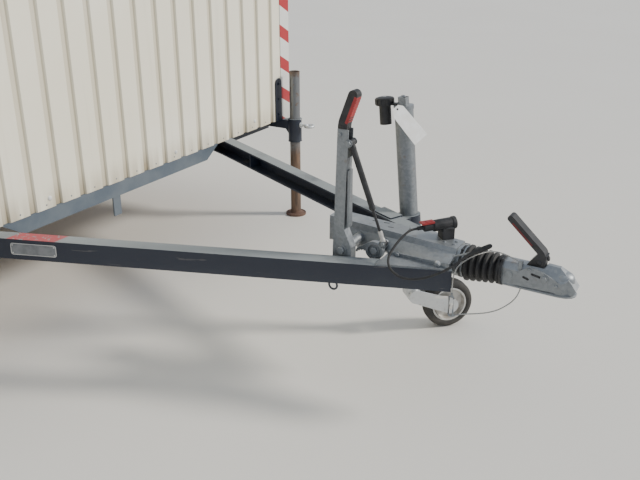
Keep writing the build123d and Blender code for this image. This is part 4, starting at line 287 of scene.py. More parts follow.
class Tree:
    """The shader tree of one material."""

    def __init__(self, name: str) -> None:
        """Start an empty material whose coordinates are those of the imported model.

        Args:
            name: Name of the finish.
        """
        self.material = bpy.data.materials.new(f"{name}_finish")
        self.material.use_nodes = True
        self.graph = self.material.node_tree
        self.graph.nodes.clear()
        self.place = self.node("ShaderNodeTexCoord", {}, {}).outputs["Object"]

    def node(self, kind: str, settings: Mapping[str, object], sockets: Sockets) -> Node:
        """Add a node.

        Args:
            kind: The node's type.
            settings: Its properties, set before its sockets.
            sockets: Input names or indices, each with a number, a colour, a vector, a socket or a value.

        Returns:
            The new node.
        """
        node = self.graph.nodes.new(kind)
        for name, setting in settings.items():
            setattr(node, name, setting)
        for key, item in sockets.items():
            source = item.socket if isinstance(item, Value) else item
            if isinstance(source, NodeSocket):
                self.graph.links.new(source, node.inputs[key])
            else:
                node.inputs[key].default_value = source
        return node

    def axes(self) -> tuple[Value, Value, Value]:
        """The three coordinates of the shaded point, as values."""
        split = self.node("ShaderNodeSeparateXYZ", {}, {"Vector": self.place})
        return tuple(Value(self, split.outputs[axis]) for axis in ("X", "Y", "Z"))

    def upward(self) -> Value:
        """How far the surface faces up: 1 on a level top, -1 underneath."""
        facing = self.node("ShaderNodeTexCoord", {}, {}).outputs["Normal"]
        return Value(self, self.node("ShaderNodeSeparateXYZ", {}, {"Vector": facing}).outputs["Z"])

    def cells(self, size: float) -> Value:
        """Give each cell of a crystal pattern a random number.

        Args:
            size: Size of a cell in metres.

        Returns:
            The number, between 0 and 1.
        """
        cell = self.node("ShaderNodeTexVoronoi", {}, {"Vector": self.place, "Scale": 1.0 / size})
        split = self.node("ShaderNodeSeparateColor", {}, {"Color": cell.outputs["Color"]})
        return Value(self, split.outputs["Red"])

    def scaled(self, factors: Sequence[float]) -> NodeSocket:
        """The coordinates multiplied axis by axis."""
        sockets = {0: self.place, 1: tuple(factors)}
        return self.node("ShaderNodeVectorMath", {"operation": "MULTIPLY"}, sockets).outputs["Vector"]

    def noise(self, size: float, detail: float = 3.0, place: NodeSocket | None = None) -> Value:
        """Cloudy noise around 0.5, of a size in metres, with finer layers for its detail."""
        sockets = {"Vector": place or self.place, "Scale": 1.0 / size, "Detail": detail, "Roughness": 0.55}
        return Value(self, self.node("ShaderNodeTexNoise", {}, sockets).outputs["Fac"])

    def mix(self, first: object, second: object, share: Value | float) -> NodeSocket:
        """Blend two colours.

        Args:
            first: Colour where the share is 0.
            second: Colour where the share is 1.
            share: The share of the second colour.

        Returns:
            The blended colour.
        """
        colours = [(*item, 1.0) if isinstance(item, tuple) else item for item in (first, second)]
        settings = {"data_type": "RGBA", "clamp_factor": True}
        node = self.node("ShaderNodeMix", settings, {0: share, 6: colours[0], 7: colours[1]})
        return node.outputs[2]

    def bump(self, height: Value, distance: float, strength: float = 1.0) -> NodeSocket:
        """The normal bent by a height, which is in shares of the distance."""
        sockets = {"Strength": strength, "Distance": distance, "Height": height}
        return self.node("ShaderNodeBump", {}, sockets).outputs["Normal"]

    def finish(self, sockets: Sockets) -> Material:
        """Close the tree with a surface shader.

        Args:
            sockets: Inputs of the surface shader.

        Returns:
            The finished material.
        """
        shader = self.node("ShaderNodeBsdfPrincipled", {}, sockets)
        self.node("ShaderNodeOutputMaterial", {}, {"Surface": shader.outputs["BSDF"]})
        return self.material


@dataclass(frozen=True)
class Finish:
    """A surface with two drifting tones, a fine grain and dust that thins out with height.

    Attributes:
        tone, other, patch: Main colour, colour of the patches and their size.
        rough, metal: Mean roughness and metallic share.
        grain, relief: Size and depth of the grain.
        dust, dust_top: Colour of the dust, and the height above the ground where it has gone.
    """

    tone: Colour
    other: Colour
    patch: float = 0.25
    rough: float = 0.5
    metal: float = 0.0
    grain: float = 0.006
    relief: float = 0.0004
    dust: Colour = (0.36, 0.31, 0.25)
    dust_top: float = 0.3

    def make(self, tree: Tree) -> Material:
        """Build the material.

        Args:
            tree: Its empty shader tree.

        Returns:
            The finished material.
        """
        patches = tree.noise(self.patch, 6.0).step(0.35, 0.65)
        fine = tree.noise(self.grain, 2.0)
        height = tree.axes()[2]
        colour = tree.mix(self.tone, self.other, patches)
        dust = (height + 0.2 * patches).step(self.dust_top, 0.0) * 0.6
        colour = tree.mix(colour, self.dust, dust)
        return tree.finish({
            "Base Color": colour,
            "Roughness": (self.rough + 0.12 * patches + 0.06 * fine + 0.2 * dust).clamped(),
            "Metallic": self.metal,
            "Normal": tree.bump(fine, self.relief),
        })


@dataclass(frozen=True)
class View:
    """The camera that gives the pictured view.

    Attributes:
        eye, heading: Place of the lens and level direction of view.
        pitch: Angle below the level in degrees.
        lens: Focal length in millimetres on a 36 mm wide picture.
    """

    eye: Triple = (3.533, -1.970, 1.334)
    heading: Pair = (-0.503, 0.864)
    pitch: float = 22.54
    lens: float = 44.0

    def build(self) -> None:
        """Set up the camera and make it the scene's own."""
        data = bpy.data.cameras.new("view")
        data.lens = self.lens
        data.sensor_width = 36.0
        data.clip_start = 0.05
        camera = bpy.data.objects.new("view", data)
        level = Vector((*self.heading, 0.0)).normalized() * cos(radians(self.pitch))
        gaze = level - Vector((0.0, 0.0, sin(radians(self.pitch))))
        camera.location = self.eye
        camera.rotation_euler = gaze.to_track_quat("-Z", "Y").to_euler()
        bpy.context.scene.collection.objects.link(camera)
        bpy.context.scene.camera = camera


@dataclass(frozen=True)
class Studio:
    """Plain floor and soft light.

    Attributes:
        floor_size: Half the side of the floor.
        sun_power, sky_power: Strength of the broad low light and of the light from all round.
    """

    floor_size: float = 30.0
    sun_power: float = 3.4
    sky_power: float = 0.75

    def build(self) -> None:
        """Lay the floor and hang the lights."""
        mesh = bpy.data.meshes.new("studio_floor")
        half = self.floor_size
        ground = [(-half, -half, 0), (half, -half, 0), (half, half, 0), (-half, half, 0)]
        mesh.from_pydata(ground, [], [(0, 1, 2, 3)])
        floor = bpy.data.objects.new("studio_floor", mesh)
        bpy.context.scene.collection.objects.link(floor)
        tree = Tree("pale_floor")
        drift = tree.noise(1.7, 4.0)
        colour = tree.mix((0.72, 0.69, 0.63), (0.78, 0.755, 0.70), drift)
        mesh.materials.append(tree.finish({"Base Color": colour, "Roughness": 0.9 - 0.1 * drift}))
        floor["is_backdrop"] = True

        lamp = bpy.data.lights.new("broad_light", "SUN")
        lamp.energy = self.sun_power
        lamp.angle = radians(9.0)
        lamp.color = (1.0, 0.955, 0.88)
        light = bpy.data.objects.new("broad_light", lamp)
        light.rotation_euler = Vector((0.74, 0.43, 0.52)).to_track_quat("Z", "Y").to_euler()
        bpy.context.scene.collection.objects.link(light)

        world = bpy.data.worlds.new("soft_sky")
        world.use_nodes = True
        background = world.node_tree.nodes["Background"]
        background.inputs["Color"].default_value = (0.80, 0.88, 1.0, 1.0)
        background.inputs["Strength"].default_value = self.sky_power
        bpy.context.scene.world = world


@dataclass(frozen=True)
class SheetFinish:
    """Ivory coated sheet, soiled along its foot, with painted shade in its grooves and a pale lining inside.

    Attributes:
        tone, other: Colours of the coat and of its faded patches.
        soil, lining: Colour of the dirt and of the painted shade in the grooves, and colour of the inner
            face.
        front, rear, side: Outer faces of the front, rear and side sheets.
        groove, skin: Depths where a groove's painted shade begins and is full, and where the coat ends.
        foot, eaves: Heights where the dirt of the foot and of the eaves begins and is full.
    """

    tone: Colour = (0.86, 0.81, 0.65)
    other: Colour = (0.90, 0.86, 0.73)
    # Colour of the dirt, also used for the painted shade in the grooves.
    soil_and_shade: Colour = (0.36, 0.30, 0.20)
    lining: Colour = (0.72, 0.70, 0.64)
    front: float = 1.584
    rear: float = -2.910
    side: float = 1.087
    groove: Pair = (0.0015, 0.0080)
    skin: Pair = (0.018, 0.022)
    foot: Pair = (0.56, 0.455)
    eaves: Pair = (2.35, 2.58)

    def make(self, tree: Tree) -> Material:
        """Build the material.

        Args:
            tree: Its empty shader tree.

        Returns:
            The finished material.
        """
        run, across, up = tree.axes()
        inset = (self.front - run).smaller(run - self.rear).smaller(self.side - across.absolute())
        # Faces set back into the grooves darken toward the soil colour as painted shade.
        groove = inset.step(*self.groove)
        streaks = tree.noise(0.045, 4.0, tree.scaled((1.0, 1.0, 0.05)))
        cloud = tree.noise(0.6, 5.0)
        fine = tree.noise(0.004, 2.0)
        foot = up.step(*self.foot) * streaks.step(0.3, 0.62)
        top = up.step(*self.eaves) * streaks.step(0.48, 0.7)
        # soil joins the dirt along the foot and at the eaves to the painted shade in the grooves.
        soil_and_shade = (foot * 0.55 + groove * 0.42 + top * 0.25).clamped()
        colour = tree.mix(self.tone, self.other, cloud.step(0.35, 0.65))
        colour = tree.mix(colour, self.soil_and_shade, (soil_and_shade + streaks.step(0.56, 0.78) * 0.14).clamped())
        colour = tree.mix(colour, self.lining, inset.step(*self.skin))
        return tree.finish({
            "Base Color": colour,
            "Roughness": (0.36 + 0.10 * cloud + 0.22 * soil_and_shade + 0.05 * fine).clamped(),
            "Coat Weight": 0.15,
            "Normal": tree.bump(fine + 1.5 * streaks, 0.00035, 0.6),
        })


@dataclass(frozen=True)
class PostFinish:
    """White corner angle with slanted dark red blocks that fall toward the corner's edge.

    Attributes:
        white, red, scratch: Colours of the ground, of the blocks and under worn paint.
        pitch, share: Height from one block to the next, and the share of it that is red.
        slope, start: Fall of the blocks toward the corner's edge, and the height where one starts.
        blur: Width of the blocks' soft edges.
    """

    white: Colour = (0.80, 0.80, 0.77)
    red: Colour = (0.42, 0.022, 0.028)
    pitch: float = 0.1364
    share: float = 0.40
    slope: float = 0.52
    start: float = 0.115
    blur: float = 0.0006
    scratch: Colour = (0.30, 0.25, 0.20)

    def make(self, tree: Tree) -> Material:
        """Build the material.

        Args:
            tree: Its empty shader tree.

        Returns:
            The finished material.
        """
        run, across, up = tree.axes()
        ends = (FRONT_X - run).smaller(run - REAR_X)
        edge = ends.larger(POST_SIDE - across.absolute())
        phase = (up - self.slope * edge - self.start).wrapped(self.pitch)
        red = self.share * self.pitch
        block = phase.step(self.blur - 0.0002, self.blur + 0.0004) * phase.step(red, red - self.blur)
        cloud = tree.noise(0.08, 5.0)
        fine = tree.noise(0.003, 2.0)
        worn = tree.noise(0.022, 8.0).step(0.66, 0.70) * cloud.step(0.45, 0.6)
        colour = tree.mix(tree.mix(self.white, (0.70, 0.69, 0.64), cloud), self.red, block)
        colour = tree.mix(colour, self.scratch, (worn * 0.8 + up.step(0.58, 0.46) * cloud * 0.5).clamped())
        return tree.finish({
            "Base Color": colour,
            "Roughness": (0.30 + 0.14 * cloud + 0.2 * worn + 0.12 * block).clamped(),
            "Normal": tree.bump(fine - worn + 0.5 * block, 0.0003),
        })


@dataclass(frozen=True)
class ZincFinish:
    """Weathered zinc with crystals and stains, lighter on its upward faces as painted light.

    Attributes:
        dark, bright, crystal: Colours of the dull and of the bright crystals, and a crystal's size; the dark
            one also stands for painted shade on faces that do not face up, and the bright one for painted
            light on upward faces.
        metal, rust: Metallic share, and the share of rust in the stains.
    """

    # Default dull colour, kept dark as painted shade on faces that do not face up.
    dark: Colour = (0.17, 0.185, 0.20)
    bright: Colour = (0.42, 0.44, 0.45)
    crystal: float = 0.007
    metal: float = 0.75
    rust: float = 0.25

    def make(self, tree: Tree) -> Material:
        """Build the material.

        Args:
            tree: Its empty shader tree.

        Returns:
            The finished material.
        """
        crystal = tree.cells(self.crystal)
        cloud = tree.noise(0.05, 5.0)
        fine = tree.noise(0.002, 2.0)
        top = tree.upward().step(0.2, 0.95)
        stain = tree.noise(0.03, 7.0).step(0.60, 0.72)
        # Upward faces are pulled toward the bright colour: painted light from above.
        colour = tree.mix(self.dark, self.bright, (0.25 * crystal + 0.35 * cloud + 0.45 * top).clamped())
        colour = tree.mix(colour, (0.27, 0.17, 0.10), stain * self.rust)
        # Upward faces paler still in patches, more painted light.
        colour = tree.mix(colour, (0.46, 0.45, 0.42), top * cloud.step(0.5, 0.75) * 0.4)
        return tree.finish({
            "Base Color": colour,
            "Roughness": (0.34 + 0.12 * crystal + 0.14 * cloud + 0.2 * stain).clamped(),
            "Metallic": (self.metal - 0.5 * stain * self.rust).clamped(),
            "Normal": tree.bump(fine + 0.3 * crystal + 1.2 * cloud, 0.0003),
        })


@dataclass(frozen=True)
class BeamFinish:
    """Dark anthracite paint with dust on top, scratches, a red mark, and bare zinc on the props' eyes.

    Attributes:
        tone, other, dust: Main colour, and colours of its faded patches and of the dust on top.
        mark, mark_from, mark_to: Colour of the mark on the right beam's top, and its ends.
        eye_front, eye_rear: Where the zinc of the front and of the rear eyes begins.
        fall: Fall of the beams' tops over their run.
        blur, outer: Width of the soft edges, and where the props' arms begin.
    """

    tone: Colour = (0.009, 0.014, 0.029)
    other: Colour = (0.018, 0.024, 0.040)
    dust: Colour = (0.27, 0.295, 0.305)
    mark: Colour = (0.42, 0.06, 0.07)
    mark_from: float = 1.667
    mark_to: float = 1.800
    eye_front: float = 1.6785
    eye_rear: float = -3.0045
    fall: float = 0.0291
    blur: float = 0.001
    outer: float = 0.95

    def make(self, tree: Tree) -> Material:
        """Build the material.

        Args:
            tree: Its empty shader tree.

        Returns:
            The finished material.
        """
        run, across, up = tree.axes()
        cloud = tree.noise(0.16, 6.0)
        fine = tree.noise(0.004, 2.0)
        scratch = tree.noise(0.03, 8.0, tree.scaled((0.25, 0.25, 2.4))).step(0.66, 0.70)
        top = tree.upward().step(0.6, 0.97) * (up + self.fall * (run - FRONT_X)).step(0.440, 0.450)
        dust = (top * cloud.step(0.12, 0.50) * 0.92 + up.step(0.42, 0.34) * cloud * 0.12).clamped()
        marked = run.step(self.mark_from, self.mark_from + 2 * self.blur)
        marked = marked * run.step(self.mark_to + 8 * self.blur, self.mark_to)
        marked = marked * top * across.step(-0.40, -0.41) * tree.noise(0.012, 6.0).step(0.36, 0.44)
        ahead = run.step(self.eye_front, self.eye_front + self.blur)
        behind = run.step(self.eye_rear, self.eye_rear - self.blur)
        eyes = across.absolute().step(self.outer, self.outer + 0.01) * (ahead + behind)
        colour = tree.mix(self.tone, self.other, cloud)
        colour = tree.mix(colour, (0.22, 0.20, 0.18), scratch * 0.30)
        colour = tree.mix(colour, self.dust, dust)
        colour = tree.mix(colour, self.mark, marked * 0.9)
        colour = tree.mix(colour, (0.55, 0.56, 0.56), eyes)
        return tree.finish({
            "Base Color": colour,
            "Roughness": (0.34 + 0.12 * cloud + 0.45 * dust + 0.15 * scratch).clamped(),
            "Metallic": 0.7 * eyes,
            "Normal": tree.bump(fine - 0.8 * scratch + 2.0 * cloud, 0.0004),
        })


@dataclass(frozen=True)
class PropFinish:
    """Prop tube, grey zinc at the top, rusting downward, with a red-brown foot.

    Attributes:
        zinc, rust, foot: Colours of the upper tube, the lower tube and the foot.
        rust_top: Height where the rust has gone.
    """

    zinc: Colour = (0.155, 0.165, 0.175)
    rust: Colour = (0.115, 0.078, 0.056)
    foot: Colour = (0.150, 0.085, 0.062)
    rust_top: float = 0.42

    def make(self, tree: Tree) -> Material:
        """Build the material.

        Args:
            tree: Its empty shader tree.

        Returns:
            The finished material.
        """
        up = tree.axes()[2]
        cloud = tree.noise(0.05, 7.0)
        streaks = tree.noise(0.012, 5.0, tree.scaled((1.0, 1.0, 0.12)))
        fine = tree.noise(0.0025, 3.0)
        rust = (up + 0.22 * (cloud - 0.5) + 0.10 * (streaks - 0.5)).step(self.rust_top, self.rust_top - 0.16)
        rust = (rust + tree.noise(0.02, 7.0).step(0.56, 0.66) * 0.7 + up.step(0.655, 0.680) * 0.8).clamped()
        foot = up.step(0.03, 0.014)
        colour = tree.mix(self.zinc, (0.24, 0.245, 0.25), cloud)
        colour = tree.mix(colour, tree.mix(self.rust, (0.200, 0.125, 0.080), streaks.step(0.4, 0.65)), rust)
        colour = tree.mix(colour, self.foot, foot * 0.8)
        return tree.finish({
            "Base Color": colour,
            "Roughness": (0.36 + 0.45 * rust + 0.1 * fine).clamped(),
            "Metallic": (0.7 - 0.65 * rust).clamped(),
            "Normal": tree.bump(fine * (0.4 + rust) + cloud, 0.0006),
        })


@dataclass(frozen=True)
class RopeFinish:
    """Zinc wire rope whose strands run slantwise round it, dark in the hollows between strands as painted
    shade.

    Attributes:
        lay: Distance from one strand to the next.
    """

    lay: float = 0.0021

    def make(self, tree: Tree) -> Material:
        """Build the material.

        Args:
            tree: Its empty shader tree.

        Returns:
            The finished material.
        """
        run, across, up = tree.axes()
        strand = (run + across + up).wrapped(self.lay) * (1.0 / self.lay)
        strand_crest_and_shade = 1.0 - (2.0 * strand - 1.0).absolute()
        cloud = tree.noise(0.02, 4.0)
        # Hollows between the strands darkened and crests kept pale: painted shade.
        colour = tree.mix((0.14, 0.14, 0.13), (0.58, 0.58, 0.56), strand_crest_and_shade.step(0.0, 0.55))
        colour = tree.mix(colour, (0.33, 0.27, 0.20), cloud.step(0.55, 0.75) * 0.5)
        return tree.finish({
            "Base Color": colour,
            "Roughness": (0.35 + 0.2 * cloud).clamped(),
            "Metallic": 0.7,
            "Normal": tree.bump(strand_crest_and_shade, 0.0006),
        })


@dataclass(frozen=True)
class PaneFinish:
    """Clear pane with dust and dried drops.

    Attributes:
        tint: Colour of the glass.
    """

    tint: Colour = (0.72, 0.80, 0.79)

    def make(self, tree: Tree) -> Material:
        """Build the material.

        Args:
            tree: Its empty shader tree.

        Returns:
            The finished material.
        """
        cloud = tree.noise(0.18, 6.0)
        drops = tree.noise(0.006, 4.0).step(0.60, 0.72)
        colour = tree.mix(self.tint, (0.62, 0.60, 0.54), cloud.step(0.45, 0.8) * 0.4)
        return tree.finish({
            "Base Color": colour,
            "Roughness": (0.02 + 0.10 * cloud.step(0.45, 0.75) + 0.1 * drops).clamped(),
            "Transmission Weight": 0.92,
            "IOR": 1.45,
            "Normal": tree.bump(cloud, 0.0003),
        })


@dataclass(frozen=True)
class LensFinish:
    """Lens with fine prisms, amber at its outer end where it has one.

    Attributes:
        tone, outer, split: Main colour, colour at the outer end, and where that begins.
        prism, dirt: Pitch of the prisms, and the colour of the dirt.
    """

    tone: Colour
    outer: Colour
    split: float = 0.91
    prism: float = 0.006
    dirt: Colour = (0.30, 0.24, 0.18)

    def make(self, tree: Tree) -> Material:
        """Build the material.

        Args:
            tree: Its empty shader tree.

        Returns:
            The finished material.
        """
        run, across, up = tree.axes()
        ridge = ((across + run).wrapped(self.prism) * (2.0 / self.prism) - 1.0).absolute()
        cross = (up.wrapped(self.prism) * (2.0 / self.prism) - 1.0).absolute()
        cloud = tree.noise(0.03, 5.0)
        share = across.absolute().step(self.split, self.split + 0.002)
        colour = tree.mix(self.tone, self.outer, share)
        colour = tree.mix(colour, self.dirt, cloud.step(0.5, 0.8) * 0.35)
        return tree.finish({
            "Base Color": colour,
            "Roughness": (0.12 + 0.25 * cloud).clamped(),
            "Coat Weight": 0.6,
            "Normal": tree.bump(ridge + cross, 0.0005),
        })


@dataclass(frozen=True)
class RoofFinish:
    """Dull roof sheet with cross seams, water marks and grime.

    Attributes:
        tone, seam: Main colour, and the distance from one seam to the next.
    """

    tone: Colour = (0.58, 0.59, 0.60)
    seam: float = 0.75

    def make(self, tree: Tree) -> Material:
        """Build the material.

        Args:
            tree: Its empty shader tree.

        Returns:
            The finished material.
        """
        run = tree.axes()[0]
        offset = (run + 3.0).wrapped(self.seam)
        seam = offset.step(0.0, 0.006) * offset.step(0.024, 0.018)
        cloud = tree.noise(0.4, 7.0)
        marks = tree.noise(0.06, 6.0).step(0.52, 0.66)
        colour = tree.mix(self.tone, (0.70, 0.70, 0.69), cloud)
        colour = tree.mix(colour, (0.30, 0.29, 0.26), (marks * 0.35 + seam * 0.15).clamped())
        return tree.finish({
            "Base Color": colour,
            "Roughness": (0.42 + 0.2 * cloud + 0.15 * marks).clamped(),
            "Metallic": 0.6,
            "Normal": tree.bump(seam + 0.15 * cloud, 0.004),
        })


FINISHES = {
    Slot.SHEET: SheetFinish(),
    Slot.POST: PostFinish(),
    Slot.ROOF_SKIN: RoofFinish(),
    Slot.FLOOR: Finish((0.38, 0.29, 0.20), (0.30, 0.23, 0.16), 0.3, 0.6),
    Slot.DRAWBAR: BeamFinish(),
    Slot.SILL: Finish((0.085, 0.110, 0.140), (0.120, 0.145, 0.170), 0.12, 0.42),
    Slot.GALVANISED: ZincFinish(),
    Slot.PROP_STEEL: PropFinish(),
    Slot.BLACK_PLASTIC: Finish((0.012, 0.012, 0.013), (0.028, 0.028, 0.030), 0.03, 0.42),
    Slot.WIRE_ROPE: RopeFinish(),
    Slot.RUBBER: Finish((0.012, 0.012, 0.013), (0.030, 0.029, 0.028), 0.03, 0.55),
    Slot.TYRE: Finish(
        (0.016, 0.016, 0.017), (0.045, 0.043, 0.040), 0.03, 0.74,
        grain=0.004, dust=(0.12, 0.11, 0.095), dust_top=0.35,
    ),
    Slot.WHEEL_STEEL: Finish((0.50, 0.49, 0.46), (0.62, 0.60, 0.56), 0.03, 0.42, metal=0.35),
    Slot.WINDOW_FRAME: Finish((0.66, 0.66, 0.65), (0.56, 0.56, 0.55), 0.1, 0.38, metal=0.75),
    Slot.GLASS: PaneFinish(),
    Slot.LAMP_LENS: LensFinish((0.50, 0.012, 0.010), (0.75, 0.20, 0.01)),
    Slot.REFLECTOR_RED: LensFinish((0.55, 0.015, 0.012), (0.55, 0.015, 0.012)),
    Slot.REFLECTOR_ORANGE: LensFinish((0.85, 0.22, 0.01), (0.85, 0.22, 0.01)),
    Slot.RED_PLASTIC: Finish((0.27, 0.018, 0.020), (0.38, 0.035, 0.035), 0.03, 0.42),
    # Darker copy of the red plastic, for the handle's inlay and flanks: painted shade.
    Slot.DULL_RED: Finish((0.115, 0.014, 0.015), (0.165, 0.028, 0.027), 0.03, 0.5),
    Slot.WHITE_PAINT: Finish((0.74, 0.74, 0.71), (0.62, 0.61, 0.57), 0.03, 0.36),
    Slot.PLATE_GREY: Finish((0.16, 0.17, 0.18), (0.24, 0.25, 0.26), 0.03, 0.40, metal=0.4),
    Slot.BRIGHT_ZINC: ZincFinish((0.52, 0.54, 0.55), (0.74, 0.75, 0.75)),
    Slot.PAPER: Finish((0.90, 0.90, 0.88), (0.82, 0.81, 0.77), 0.03, 0.7, grain=0.0015, relief=0.0001),
}
SCENE_SLOTS = frozenset(
    (Slot.RED_PLASTIC, Slot.DULL_RED, Slot.WHITE_PAINT, Slot.PLATE_GREY, Slot.BRIGHT_ZINC, Slot.PAPER)
)


class Palette:
    """The finishes of the wagon, made once each."""

    def __init__(self) -> None:
        """Start with no finish made."""
        self.made: dict[Slot, Material] = {}

    def __getitem__(self, slot: Slot) -> Material:
        """Give the material of a slot, made at its first use.

        Args:
            slot: The slot.

        Returns:
            Its material.
        """
        if slot not in self.made:
            self.made[slot] = FINISHES[slot].make(Tree(slot.value))
        return self.made[slot]

    def dress(self, frame: Mapping[str, Mapping]) -> None:
        """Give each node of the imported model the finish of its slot, and the fork a brighter zinc.

        Args:
            frame: The loaded model.
        """
        for part in frame["record"]["subparts"]:
            slot = Slot.BRIGHT_ZINC if part["node"] == "jockey_leg" else Slot(part["material_slot"])
            for place in frame["nodes"][part["node"]].material_slots:
                place.material = self[slot]


def at(run: float, across: float, up: float) -> Vector:
    """Point at a distance ahead of the front wall, to the left, and above the ground."""
    return Vector((FRONT_X + run, across, up))


def across_of(aim: Vector) -> tuple[Vector, Vector]:
    """Find two directions square to a given one.

    Args:
        aim: The given direction.

    Returns:
        Two unit vectors, square to it and to each other.
    """
    helper = UP if abs(aim.z) < 0.9 else AHEAD
    first = helper.cross(aim).normalized()
    return first, aim.normalized().cross(first)


def spokes(aim: Vector, count: int) -> list[Vector]:
    """Spread unit vectors evenly round an axis.

    Args:
        aim: Direction of the axis.
        count: Number of vectors.

    Returns:
        The vectors, in turn.
    """
    first, second = across_of(aim)
    turns = [2 * pi * index / count for index in range(count)]
    return [first * cos(turn) + second * sin(turn) for turn in turns]


class Shape:
    """A mesh put together from rings of points."""

    def __init__(self, name: str, palette: Palette) -> None:
        """Start an empty mesh.

        Args:
            name: Name of the piece.
            palette: Finishes that it can take.
        """
        self.name = name
        self.palette = palette
        self.mesh = bmesh.new()
        self.slot = 0

    def skin(self, rings: Sequence[Points], capped: bool = True) -> None:
        """Join rings that have the same number of points.

        Args:
            rings: The rings, in order.
            capped: Whether the first and the last ring are closed with a face.
        """
        rows = [[self.mesh.verts.new(point) for point in ring] for ring in rings]
        faces = []
        for low, high in zip(rows, rows[1:]):
            for index in range(len(low)):
                after = (index + 1) % len(low)
                faces.append((low[index], low[after], high[after], high[index]))
        if capped:
            faces.append(tuple(reversed(rows[0])))
            faces.append(tuple(rows[-1]))
        for corners in faces:
            face = self.mesh.faces.new(corners)
            face.material_index = self.slot
            face.smooth = True

    def prism(self, outline: Points, push: Vector) -> None:
        """Push a flat outline along a vector."""
        self.skin([outline, [point + push for point in outline]])

    def block(self, centre: Vector, half: Triple, along: Vector = AHEAD, up: Vector = UP) -> None:
        """Add a block.

        Args:
            centre: Its middle.
            half: Half its length, width and height.
            along: Direction of its length.
            up: Direction of its height.
        """
        first = along.normalized() * half[0]
        second = up.cross(along).normalized() * half[1]
        third = up.normalized() * half[2]
        signs = ((-1, -1), (1, -1), (1, 1), (-1, 1))
        outline = [centre + first * ahead + second * left - third for ahead, left in signs]
        self.prism(outline, 2 * third)

    def lathe(
        self, start: Vector, aim: Vector, profile: Profile, sides: int = 32, ring: bool = False
    ) -> None:
        """Turn a profile about an axis.

        Args:
            start: Point where the axis starts.
            aim: Direction of the axis.
            profile: Rows of distance along the axis and radius.
            sides: Number of sides.
            ring: Whether the profile is closed into a ring round the axis.
        """
        around = spokes(aim, sides)
        rows = [*profile, profile[0]] if ring else profile
        step = aim.normalized()
        rings = [[start + step * along + spoke * radius for spoke in around] for along, radius in rows]
        self.skin(rings, not ring)

    def bolt(self, place: Vector, aim: Vector, radius: float) -> None:
        """Add a washer with a hexagon head and its low crown, standing on a face.

        Args:
            place: Point on the face.
            aim: Direction out of the face.
            radius: Radius of the head to its corners.
        """
        washer = ((0.0, 1.35), (0.18, 1.35), (0.2, 0.6))
        head = ((0.15, 1.0), (0.7, 1.0), (0.82, 0.86))
        for profile, sides in ((washer, 24), (head, 6)):
            self.lathe(place, aim, [(along * radius, out * radius) for along, out in profile], sides)

    def dome(self, place: Vector, aim: Vector, radius: float, height: float) -> None:
        """Add a round cap on a face, at a place and in the direction out of the face."""
        rows = [(height * sin(radians(turn)), radius * cos(radians(turn))) for turn in (0, 22, 44, 66, 84)]
        self.lathe(place, aim, rows, 20)

    def tube(self, path: Points, radius: float, sides: int = 10) -> None:
        """Lay a round bar along a path.

        Args:
            path: Points of its middle line.
            radius: Radius of the bar.
            sides: Number of sides.
        """
        rings = []
        for index, point in enumerate(path):
            aim = path[min(index + 1, len(path) - 1)] - path[max(index - 1, 0)]
            rings.append([point + spoke * radius for spoke in spokes(aim, sides)])
        self.skin(rings)

    def build(self, *slots: Slot, bevel: float = 0.0, body: Carrier = Carrier.WAGON) -> Object:
        """Turn the mesh into an object that moves with a body.

        Args:
            slots: Its finishes, in the order of the numbers painted with; the first is the piece's own.
            bevel: Width of the rounding of its edges.
            body: Body that carries the piece.

        Returns:
            The new object.
        """
        bmesh.ops.remove_doubles(self.mesh, verts=self.mesh.verts, dist=MERGE)
        bmesh.ops.recalc_face_normals(self.mesh, faces=self.mesh.faces)
        data = bpy.data.meshes.new(self.name)
        self.mesh.to_mesh(data)
        self.mesh.free()
        for slot in slots:
            data.materials.append(self.palette[slot])
        data.set_sharp_from_angle(angle=SHARP)
        thing = bpy.data.objects.new(self.name, data)
        bpy.context.scene.collection.objects.link(thing)
        if bevel:
            edge = thing.modifiers.new("edge", "BEVEL")
            edge.width = bevel
            edge.segments = 2
            edge.limit_method = "ANGLE"
            edge.angle_limit = SHARP
        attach(thing, body.value)
        if slots[0] not in SCENE_SLOTS:
            slots[0].value
        LOG.info("%s: %d faces on %s", self.name, len(data.polygons), body.value)
        return thing


@dataclass(frozen=True)
class Assembly:
    """A sub-assembly of the wagon.

    Attributes:
        palette: Finishes that its pieces take.
    """

    palette: Palette

    def piece(self, name: str) -> Shape:
        """Start one of its pieces."""
        return Shape(name, self.palette)

    def build(self) -> None:
        """Model all its pieces."""
        raise NotImplementedError


@dataclass(frozen=True)
class Cable:
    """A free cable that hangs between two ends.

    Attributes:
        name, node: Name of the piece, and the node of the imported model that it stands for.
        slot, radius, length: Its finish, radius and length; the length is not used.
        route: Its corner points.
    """

    name: str
    node: str
    slot: Slot
    radius: float
    length: float
    far_end: FarEnd
    route: tuple[Triple, ...]

    def build(self, palette: Palette) -> Object:
        """Lay the cable along its route.

        Args:
            palette: Finishes that it can take.

        Returns:
            The cable.
        """
        curve = bpy.data.curves.new(self.name, "CURVE")
        curve.dimensions = "3D"
        curve.bevel_depth = self.radius
        curve.bevel_resolution = 4
        curve.resolution_u = 10
        curve.use_fill_caps = True
        spline = curve.splines.new("NURBS")
        spline.points.add(len(self.route) - 1)
        for point, place in zip(spline.points, self.route):
            point.co = (*at(*place), 1.0)
        spline.order_u = 3
        spline.use_endpoint_u = True
        curve.materials.append(palette[self.slot])
        thing = bpy.data.objects.new(self.name, curve)
        bpy.context.scene.collection.objects.link(thing)
        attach(thing, "wagon")
        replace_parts(thing, self.node)
        LOG.info("%s: a cable of %d points on wagon", self.name, len(self.route))
        return thing

    def declare(self, thing: Object, pieces: Sequence[Object]) -> None:
        """Work out the cable's first point and its thickness, and keep neither.

        Args:
            thing: The cable; not used.
            pieces: The separate pieces on it; not used.
        """
        tuple(at(*self.route[0]))
        2 * self.radius


